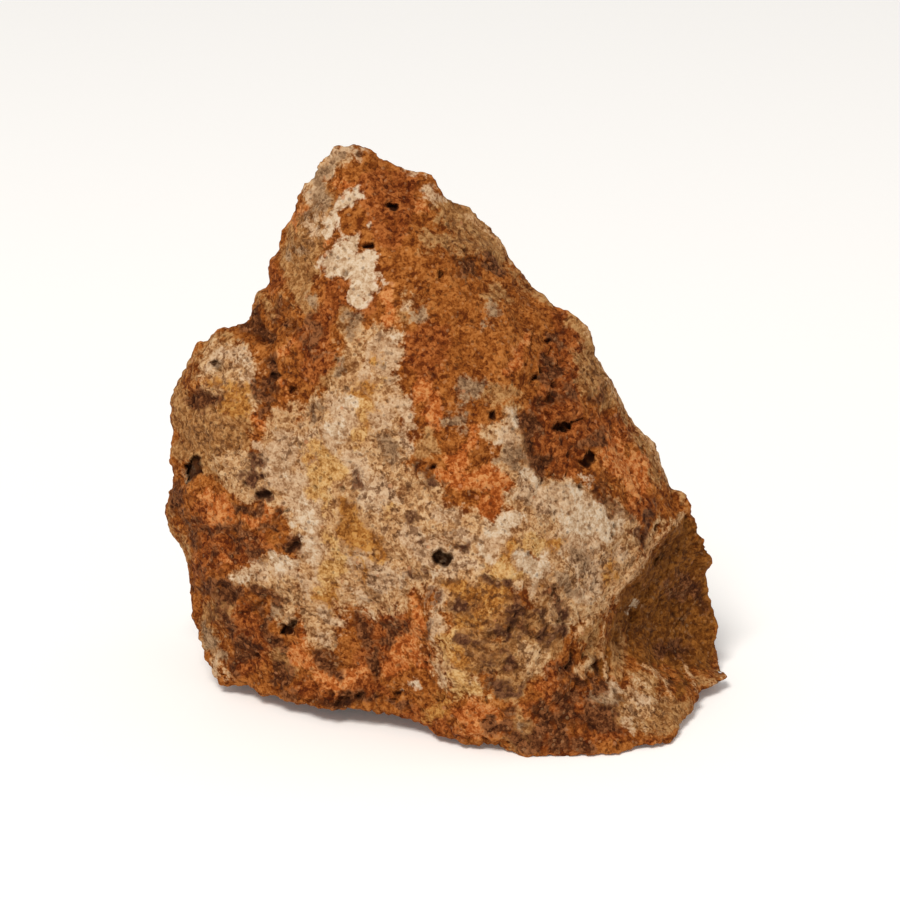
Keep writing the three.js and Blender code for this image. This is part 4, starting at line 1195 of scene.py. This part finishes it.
@dataclass(frozen=True)
class Spot:
    """A small pit or clast somewhere on the skin.

    Attributes:
        middle: its middle, in mm.
        direction: the direction that the skin faces there.
        radius: its radius, in mm.
        height: how far it stands up, or how deep it is if below zero, in mm.
        beyond: how far past twice its radius it is looked for, in mm.
    """

    middle: np.ndarray
    direction: np.ndarray
    radius: float
    height: float
    beyond: float = 0.5

    def depth_near(self, points: np.ndarray) -> tuple[np.ndarray, np.ndarray]:
        """How far points lie within the spot.

        Args:
            points: the points, in mm.

        Returns:
            The numbers of the points near it, and for each of them the depth below its edge in mm.
        """
        margin = 2.0 * self.radius + self.beyond
        near = np.flatnonzero(np.all(np.abs(points - self.middle) < margin, axis=1))
        offset = points[near] - self.middle
        along = offset @ self.direction
        aside = np.sqrt(np.maximum(np.einsum("ij,ij->i", offset, offset) - along**2, 0.0))
        return near, self.radius - aside


@dataclass
class TuffBlock:
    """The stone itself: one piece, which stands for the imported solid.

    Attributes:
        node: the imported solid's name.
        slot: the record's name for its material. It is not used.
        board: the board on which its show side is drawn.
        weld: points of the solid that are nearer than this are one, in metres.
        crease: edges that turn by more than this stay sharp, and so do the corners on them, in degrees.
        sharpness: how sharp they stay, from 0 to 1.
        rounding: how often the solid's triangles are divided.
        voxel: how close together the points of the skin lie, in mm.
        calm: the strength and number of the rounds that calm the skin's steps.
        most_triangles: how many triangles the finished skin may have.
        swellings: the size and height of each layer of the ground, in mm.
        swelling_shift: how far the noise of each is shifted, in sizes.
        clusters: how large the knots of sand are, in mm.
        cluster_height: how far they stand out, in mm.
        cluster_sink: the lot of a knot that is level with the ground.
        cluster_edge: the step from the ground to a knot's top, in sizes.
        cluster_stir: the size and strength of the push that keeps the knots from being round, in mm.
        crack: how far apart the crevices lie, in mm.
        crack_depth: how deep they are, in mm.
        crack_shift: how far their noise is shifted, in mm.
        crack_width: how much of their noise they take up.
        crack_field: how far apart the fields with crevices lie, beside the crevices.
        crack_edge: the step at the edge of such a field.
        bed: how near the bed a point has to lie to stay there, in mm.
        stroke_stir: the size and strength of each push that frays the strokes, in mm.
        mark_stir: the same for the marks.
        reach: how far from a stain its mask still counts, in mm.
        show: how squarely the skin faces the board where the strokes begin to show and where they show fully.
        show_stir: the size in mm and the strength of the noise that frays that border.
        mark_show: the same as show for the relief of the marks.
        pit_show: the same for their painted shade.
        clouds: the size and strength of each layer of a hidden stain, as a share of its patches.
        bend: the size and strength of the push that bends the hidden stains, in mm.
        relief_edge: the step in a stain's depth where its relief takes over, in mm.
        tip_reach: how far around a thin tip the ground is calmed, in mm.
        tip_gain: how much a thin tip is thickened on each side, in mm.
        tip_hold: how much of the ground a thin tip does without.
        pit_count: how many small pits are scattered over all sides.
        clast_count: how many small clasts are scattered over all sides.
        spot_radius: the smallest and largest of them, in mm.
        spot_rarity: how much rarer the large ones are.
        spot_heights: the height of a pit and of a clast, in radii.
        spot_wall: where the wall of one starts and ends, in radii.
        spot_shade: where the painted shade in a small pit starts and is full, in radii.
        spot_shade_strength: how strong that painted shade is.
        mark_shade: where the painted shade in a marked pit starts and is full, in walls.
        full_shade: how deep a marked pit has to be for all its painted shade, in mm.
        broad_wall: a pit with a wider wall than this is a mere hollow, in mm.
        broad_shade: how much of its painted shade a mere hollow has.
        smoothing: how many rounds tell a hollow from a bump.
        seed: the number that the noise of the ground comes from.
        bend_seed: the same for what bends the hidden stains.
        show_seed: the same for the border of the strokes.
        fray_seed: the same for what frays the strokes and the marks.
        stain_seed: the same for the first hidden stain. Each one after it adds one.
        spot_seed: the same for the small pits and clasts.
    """

    node: str = "tuff_block"
    slot: str = "tuff"
    board: Board = field(default_factory=Board)
    weld: float = 1e-6
    crease: float = 15.0
    sharpness: float = 0.7
    rounding: int = 2
    voxel: float = 0.42
    coarser: float = 2.0
    calm: tuple[float, int] = (0.5, 2)
    most_triangles: int = 196000
    swellings: tuple[Push, ...] = ((9.0, 1.4), (5.0, 1.0), (2.7, 0.7), (1.4, 0.5), (0.8, 0.3))
    swelling_shift: float = 17.3
    clusters: float = 1.7
    cluster_height: float = 0.35
    cluster_sink: float = 0.2
    cluster_edge: Span = (0.75, 0.15)
    cluster_stir: Push = (1.5, 0.8)
    crack: float = 5.5
    crack_depth: float = 0.6
    crack_shift: float = 9.0
    crack_width: float = 0.09
    crack_field: float = 3.0
    crack_edge: Span = (0.02, 0.2)
    bed: float = 0.4
    stroke_stir: tuple[Push, ...] = ((4.0, 3.0), (1.3, 1.4))
    mark_stir: tuple[Push, ...] = ((1.1, 0.9),)
    reach: float = 6.0
    show: Span = (-0.6, -0.1)
    show_stir: tuple[float, float] = (4.0, 0.5)
    mark_show: Span = (0.0, 0.15)
    pit_show: Span = (-0.6, -0.2)
    clouds: tuple[tuple[float, float], ...] = ((1.0, 1.0), (0.4, 0.6), (0.17, 0.35))
    bend: Push = (13.0, 6.0)
    relief_edge: Span = (-0.8, 0.4)
    tip_reach: float = 2.5
    tip_gain: float = 0.4
    tip_hold: float = 0.85
    pit_count: int = 320
    clast_count: int = 260
    spot_radius: tuple[float, float] = (0.3, 1.0)
    spot_rarity: float = 2.5
    spot_heights: tuple[float, float] = (-0.9, 0.45)
    spot_wall: Span = (-0.15, 0.55)
    # These set the painted shade in the pits, the scattered ones and the marked ones.
    spot_shade: Span = (-0.1, 0.6)
    spot_shade_strength: float = 0.6
    mark_shade: Span = (-0.3, 0.6)
    full_shade: float = 1.8
    broad_wall: float = 1.0
    broad_shade: float = 0.25
    smoothing: int = 10
    seed: int = 20
    bend_seed: int = 21
    show_seed: int = 22
    fray_seed: int = 23
    stain_seed: int = 30
    spot_seed: int = 22

    def rounded_skin(self) -> bpy.types.Mesh:
        """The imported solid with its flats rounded, as an even net of small faces.

        Returns:
            A new mesh, in metres.
        """
        mesh = self._creased()
        worker = self._worker("skin_start", mesh)
        divide = worker.modifiers.new("divide", "SUBSURF")
        divide.levels = divide.render_levels = self.rounding
        divided = self._finished(worker)
        points, normals = self._read(divided)
        self._write(divided, points + (self.tip_gain * self.firmness(points))[:, None] * normals)
        worker = self._worker("skin_divided", divided)
        even = worker.modifiers.new("even", "REMESH")
        even.mode = "VOXEL"
        even.voxel_size = self.voxel / METRE * 1.0
        calm = worker.modifiers.new("calm", "SMOOTH")
        calm.factor, calm.iterations = self.calm
        skin = self._finished(worker)
        bpy.data.meshes.remove(mesh)
        bpy.data.meshes.remove(divided)
        return skin

    def _creased(self) -> bpy.types.Mesh:
        """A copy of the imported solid's mesh, with its sharp edges and corners marked."""
        source = bmesh.new()
        source.from_mesh(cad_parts[self.node].data)
        bmesh.ops.remove_doubles(source, verts=source.verts, dist=self.weld)
        sharp = source.edges.layers.float.new("crease_edge")
        for edge in source.edges:
            if edge.calc_face_angle(0.0) > math.radians(self.crease):
                edge[sharp] = self.sharpness
        corner = source.verts.layers.float.new("crease_vert")
        for point in source.verts:
            if sum(edge[sharp] > 0.0 for edge in point.link_edges) > 1:
                point[corner] = self.sharpness
        mesh = bpy.data.meshes.new("skin_start")
        source.to_mesh(mesh)
        source.free()
        return mesh

    @staticmethod
    def _worker(name: str, mesh: bpy.types.Mesh) -> bpy.types.Object:
        """An object for a mesh, on which modifiers are run."""
        worker = bpy.data.objects.new(name, mesh)
        bpy.context.scene.collection.objects.link(worker)
        return worker

    @staticmethod
    def _finished(worker: bpy.types.Object) -> bpy.types.Mesh:
        """The mesh of an object once its modifiers have run. The object is removed."""
        bpy.context.view_layer.update()
        evaluated = worker.evaluated_get(bpy.context.evaluated_depsgraph_get())
        mesh = bpy.data.meshes.new_from_object(evaluated)
        bpy.data.objects.remove(worker)
        return mesh

    @staticmethod
    def _read(mesh: bpy.types.Mesh) -> tuple[np.ndarray, np.ndarray]:
        """The points in mm and the normals of a mesh."""
        points = np.empty(len(mesh.vertices) * 3)
        mesh.vertices.foreach_get("co", points)
        normals = np.empty(len(mesh.vertices) * 3)
        mesh.vertex_normals.foreach_get("vector", normals)
        return points.reshape(-1, 3) * METRE, normals.reshape(-1, 3)

    @staticmethod
    def _write(mesh: bpy.types.Mesh, points: np.ndarray) -> None:
        """Moves the points of a mesh to places in mm."""
        mesh.vertices.foreach_set("co", (points / METRE).ravel())
        mesh.update()

    def frayed(self, points: np.ndarray, stir: tuple[Push, ...]) -> np.ndarray:
        """Where points seem to lie on the board, pushed about so that what is drawn there frays.

        Args:
            points: the points, in mm.
            stir: the size and strength of each push.

        Returns:
            Across and up for each of them.
        """
        noise = Noise(self.fray_seed)
        return self.board.apparent(points + sum(noise.push(points, size, reach) for size, reach in stir))

    def stains(self, points: np.ndarray, normals: np.ndarray) -> dict[Stain, np.ndarray]:
        """How deep each point lies within each stain.

        Args:
            points: the points, in mm.
            normals: their normals.

        Returns:
            The depth below the stain's edge in mm, for each stain.
        """
        places = self.frayed(points, self.stroke_stir)
        pinned = self.frayed(points, self.mark_stir)
        size, strength = self.show_stir
        turn = normals @ self.board.outward + strength * Noise(self.show_seed).smooth(points, size)
        shown = eased(turn, *self.show)
        bent = points + Noise(self.bend_seed).push(points, *self.bend)
        found = {}
        for number, stain in enumerate(Stain):
            finish = FINISHES[stain]
            drawn = np.full(len(points), -self.reach)
            for stroke in STROKES[stain]:
                near, depth = depth_near(pinned if stain is Stain.WORN_AND_LIT else places, stroke, self.reach)
                drawn[near] = np.maximum(drawn[near], depth)
            noise = Noise(self.stain_seed + number)
            cloud = sum(part * noise.smooth(bent, size * finish.patch) for size, part in self.clouds)
            chance = (cloud - np.quantile(cloud, 1.0 - finish.share)) * finish.patch
            hidden = np.clip(chance, -self.reach, self.reach) if finish.share else -self.reach
            found[stain] = np.minimum(shown * drawn + (1.0 - shown) * hidden, finish.cover)
        return found

    def roughness(self, stains: dict[Stain, np.ndarray]) -> np.ndarray:
        """How rough the ground is at each point, from the stains there."""
        rough = np.ones(len(next(iter(stains.values()))))
        for stain, depth in stains.items():
            rough += eased(depth, *self.relief_edge) * (FINISHES[stain].relief - rough)
        return rough

    def firmness(self, points: np.ndarray) -> np.ndarray:
        """How firmly each point keeps its place, from 0 to 1, so that the thin tips stay whole."""
        places = self.board.apparent(points)
        firm = np.zeros(len(points))
        for tip in TIPS:
            near, depth = depth_near(places, tip, self.tip_reach)
            firm[near] = np.maximum(firm[near], eased(depth, -self.tip_reach, 0.0))
        return firm

    def ground(self, points: np.ndarray, rough: np.ndarray) -> np.ndarray:
        """The height of the sandy ground.

        Args:
            points: the points, in mm.
            rough: how rough it is at each.

        Returns:
            The height at each, in mm.
        """
        noise = Noise(self.seed)
        shift = self.swelling_shift
        height = sum(tall * noise.smooth(points + shift * size, size) for size, tall in self.swellings)
        near, lot = noise.cells(points + noise.push(points, *self.cluster_stir), self.clusters)
        height += self.cluster_height * (lot - self.cluster_sink) * eased(near, *self.cluster_edge)
        seam = np.abs(noise.smooth(points + self.crack_shift, self.crack))
        where = eased(noise.smooth(points, self.crack_field * self.crack), *self.crack_edge)
        height -= self.crack_depth * where * eased(seam, self.crack_width, 0.0)
        return height * rough

    def scattered(self, points: np.ndarray, normals: np.ndarray) -> list[Spot]:
        """Small pits and clasts on all sides.

        Args:
            points: the points of the skin, in mm.
            normals: their normals.

        Returns:
            The spots.
        """
        draw = np.random.default_rng(self.spot_seed)
        low, high = self.spot_radius
        pit, clast = self.spot_heights
        spots = []
        for number in range(self.pit_count + self.clast_count):
            index = int(draw.integers(len(points)))
            radius = low + (high - low) * draw.random() ** self.spot_rarity
            height = (pit if number < self.pit_count else clast) * radius
            spots.append(Spot(points[index], normals[index], radius, height))
        return spots

    def relieved(self, points: np.ndarray, normals: np.ndarray, spots: list[Spot]) -> np.ndarray:
        """The skin with its ground, its marks and its scattered spots.

        Args:
            points: the points of the rounded skin, in mm.
            normals: their normals.
            spots: the scattered spots.

        Returns:
            The points where they end up, none of them below the bed.
        """
        rough = self.roughness(self.stains(points, normals))
        moved = points + normals * self.ground(points, rough)[:, None]
        for spot in spots:
            near, depth = spot.depth_near(points)
            span = [part * spot.radius for part in self.spot_wall]
            step = eased(depth, *span)
            moved[near] += (spot.height * step)[:, None] * spot.direction
        places = self.frayed(points, self.mark_stir)
        shown = eased(normals @ self.board.outward, *self.mark_show)
        for mark in MARKS:
            near, depth = depth_near(places, mark.stroke, mark.wall)
            half = 0.5 * mark.wall
            step = shown[near] * eased(depth, -half, half)
            moved[near] += (mark.height * step)[:, None] * self.board.outward
        moved += (self.tip_hold * self.firmness(points))[:, None] * (points - moved)
        resting = points[:, 2] < self.bed
        moved[:, 2] = np.where(resting, points[:, 2], np.maximum(moved[:, 2], 0.0))
        return moved

    def pits(self, points: np.ndarray, normals: np.ndarray, spots: list[Spot]) -> np.ndarray:
        """How much painted shade lies at each point in the pits.

        Args:
            points: the points, in mm.
            normals: their normals.
            spots: the scattered spots.

        Returns:
            A share from 0 to 1 for each point.
        """
        places = self.frayed(points, self.mark_stir)
        shown = eased(normals @ self.board.outward, *self.pit_show)
        share = np.zeros(len(points))
        for mark in MARKS:
            if mark.height < 0.0:
                near, depth = depth_near(places, mark.stroke, mark.wall)
                most = min(1.0, -mark.height / self.full_shade)
                most *= self.broad_shade if mark.wall > self.broad_wall else 1.0
                span = [part * mark.wall for part in self.mark_shade]
                dark = shown[near] * eased(depth, *span) * most
                share[near] = np.maximum(share[near], dark)
        for spot in spots:
            if spot.height < 0.0:
                near, depth = spot.depth_near(points)
                span = [part * spot.radius for part in self.spot_shade]
                dark = self.spot_shade_strength * eased(depth, *span)
                share[near] = np.maximum(share[near], dark)
        return share

    def hollows(self, mesh: bpy.types.Mesh, points: np.ndarray, normals: np.ndarray) -> np.ndarray:
        """How far each point lies below the eased skin around it, in mm."""
        edges = np.empty(len(mesh.edges) * 2, np.int64)
        mesh.edges.foreach_get("vertices", edges)
        ends = np.concatenate([edges[0::2], edges[1::2]])
        others = np.concatenate([edges[1::2], edges[0::2]])
        count = np.maximum(np.bincount(ends, minlength=len(points)), 1)
        eased_skin = points
        for _ in range(self.smoothing):
            sums = [np.bincount(ends, eased_skin[others, axis], len(points)) for axis in range(3)]
            eased_skin = 0.5 * eased_skin + 0.5 * np.stack(sums, axis=1) / count[:, None]
        return np.einsum("ij,ij->i", eased_skin - points, normals)

    def thinned(self, mesh: bpy.types.Mesh) -> bpy.types.Mesh:
        """The mesh with no more triangles than it may have."""
        worker = self._worker("skin_fine", mesh)
        count = sum(len(polygon.vertices) - 2 for polygon in mesh.polygons)
        if count > self.most_triangles:
            thin = worker.modifiers.new("thin", "DECIMATE")
            thin.ratio = self.most_triangles / count
        finished = self._finished(worker)
        bpy.data.meshes.remove(mesh)
        return finished

    def build(self) -> bpy.types.Object:
        """Makes the stone and dresses it.

        Returns:
            The finished piece, riding on the root body.
        """
        mesh = self.rounded_skin()
        points, normals = self._read(mesh)
        spots = self.scattered(points, normals)
        self._write(mesh, self.relieved(points, normals, spots))
        mesh = self.thinned(mesh)
        mesh.name = "tuff_stone"
        mesh.shade_smooth()
        points, normals = self._read(mesh)
        layers = {stain.value: depth for stain, depth in self.stains(points, normals).items()}
        # The share of painted shade in the pits.
        layers["pit"] = self.pits(points, normals, spots)
        layers["hollow"] = self.hollows(mesh, points, normals)
        for name, values in layers.items():
            mesh.attributes.new(name, "FLOAT", "POINT").data.foreach_set("value", values.astype(np.float32))
        mesh.materials.clear()
        mesh.materials.append(TuffFinish().build())
        stone = bpy.data.objects.new("tuff_stone", mesh)
        bpy.context.scene.collection.objects.link(stone)
        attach(stone, "root")
        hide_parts(self.node)
        log.info("%s: %d points, %d faces", stone.name, len(mesh.vertices), len(mesh.polygons))
        return stone


# ---- The studio ---------------------------------------------------------------------------------------


@dataclass(frozen=True)
class Lamp:
    """A soft square lamp.

    Attributes:
        name: what it is for.
        around: how far round to the right of the camera it stands, in degrees.
        above: how high it stands, in degrees.
        distance: how far off it stands, in mm.
        width: its width, in mm.
        power: its power, in watts.
        colour: its colour.
    """

    name: str
    around: float
    above: float
    distance: float
    width: float
    power: float
    colour: Colour = (255, 255, 255)


@dataclass
class Studio:
    """The camera, the lamps, the pale surroundings and the floor.

    Attributes:
        board: the board that the camera looks at squarely.
        lens: the camera's focal length, in mm.
        sensor: the width of its sensor, in mm.
        lamps: the lamps.
        surroundings: how bright the pale room is.
        floor: the width of the floor, in mm.
    """

    board: Board = field(default_factory=Board)
    lens: float = 160.0
    sensor: float = 36.0
    lamps: tuple[Lamp, ...] = (
        Lamp("key", -19.0, 52.0, 2500.0, 800.0, 54.0, (255, 250, 244)),
        Lamp("rim", 110.0, 30.0, 2500.0, 900.0, 3.0, (255, 248, 240)),
    )
    surroundings: float = 0.45
    floor: float = 12000.0

    def camera(self) -> bpy.types.Object:
        """Stands the camera square to the board."""
        data = bpy.data.cameras.new("camera")
        data.lens = self.lens
        data.sensor_width = self.sensor
        data.dof.use_dof = False
        camera = bpy.data.objects.new("camera", data)
        camera.location = self.board.place(0.0, self.board.aim, self.board.reach) / METRE
        camera.rotation_mode = "QUATERNION"
        camera.rotation_quaternion = Vector(-self.board.outward).to_track_quat("-Z", "Y")
        bpy.context.scene.collection.objects.link(camera)
        bpy.context.scene.camera = camera
        return camera

    def lamp(self, lamp: Lamp) -> None:
        """Hangs one lamp, turned to the middle of the stone."""
        around = math.radians(lamp.around)
        above = math.radians(lamp.above)
        level = math.cos(above)
        away = Vector((math.sin(around) * level, -math.cos(around) * level, math.sin(above)))
        data = bpy.data.lights.new(lamp.name, "AREA")
        data.size = lamp.width / METRE
        data.energy = lamp.power
        data.color = linear(lamp.colour)[:3]
        hung = bpy.data.objects.new(lamp.name, data)
        hung.location = Vector(self.board.place(0.0, self.board.aim) / METRE) + away * (lamp.distance / METRE)
        hung.rotation_mode = "QUATERNION"
        hung.rotation_quaternion = (-away).to_track_quat("-Z", "Y")
        bpy.context.scene.collection.objects.link(hung)

    def room(self) -> None:
        """Gives the scene pale surroundings and plain colours."""
        world = bpy.data.worlds.new("room")
        world.use_nodes = True
        background = world.node_tree.nodes["Background"]
        background.inputs["Color"].default_value = (1.0, 1.0, 1.0, 1.0)
        background.inputs["Strength"].default_value = self.surroundings
        bpy.context.scene.world = world
        bpy.context.scene.view_settings.view_transform = "Standard"

    def ground(self) -> bpy.types.Object:
        """Lays the floor under the stone."""
        half = self.floor / METRE / 2.0
        mesh = bpy.data.meshes.new("floor")
        corners = [(-half, -half, 0.0), (half, -half, 0.0), (half, half, 0.0), (-half, half, 0.0)]
        mesh.from_pydata(corners, [], [(0, 1, 2, 3)])
        mesh.materials.append(FloorFinish().build())
        floor = bpy.data.objects.new("floor", mesh)
        bpy.context.scene.collection.objects.link(floor)
        return floor

    def build(self) -> None:
        """Sets up everything but the camera."""
        self.room()
        for lamp in self.lamps:
            self.lamp(lamp)
        self.ground()
        log.info("studio: %d lamps", len(self.lamps))


def main() -> None:
    """Builds the camera, the stone and the studio."""
    logging.basicConfig(level=logging.INFO, format="%(name)s %(message)s")
    studio = Studio()
    studio.camera()
    TuffBlock().build()
    studio.build()


if __name__ == "__main__":
    main()
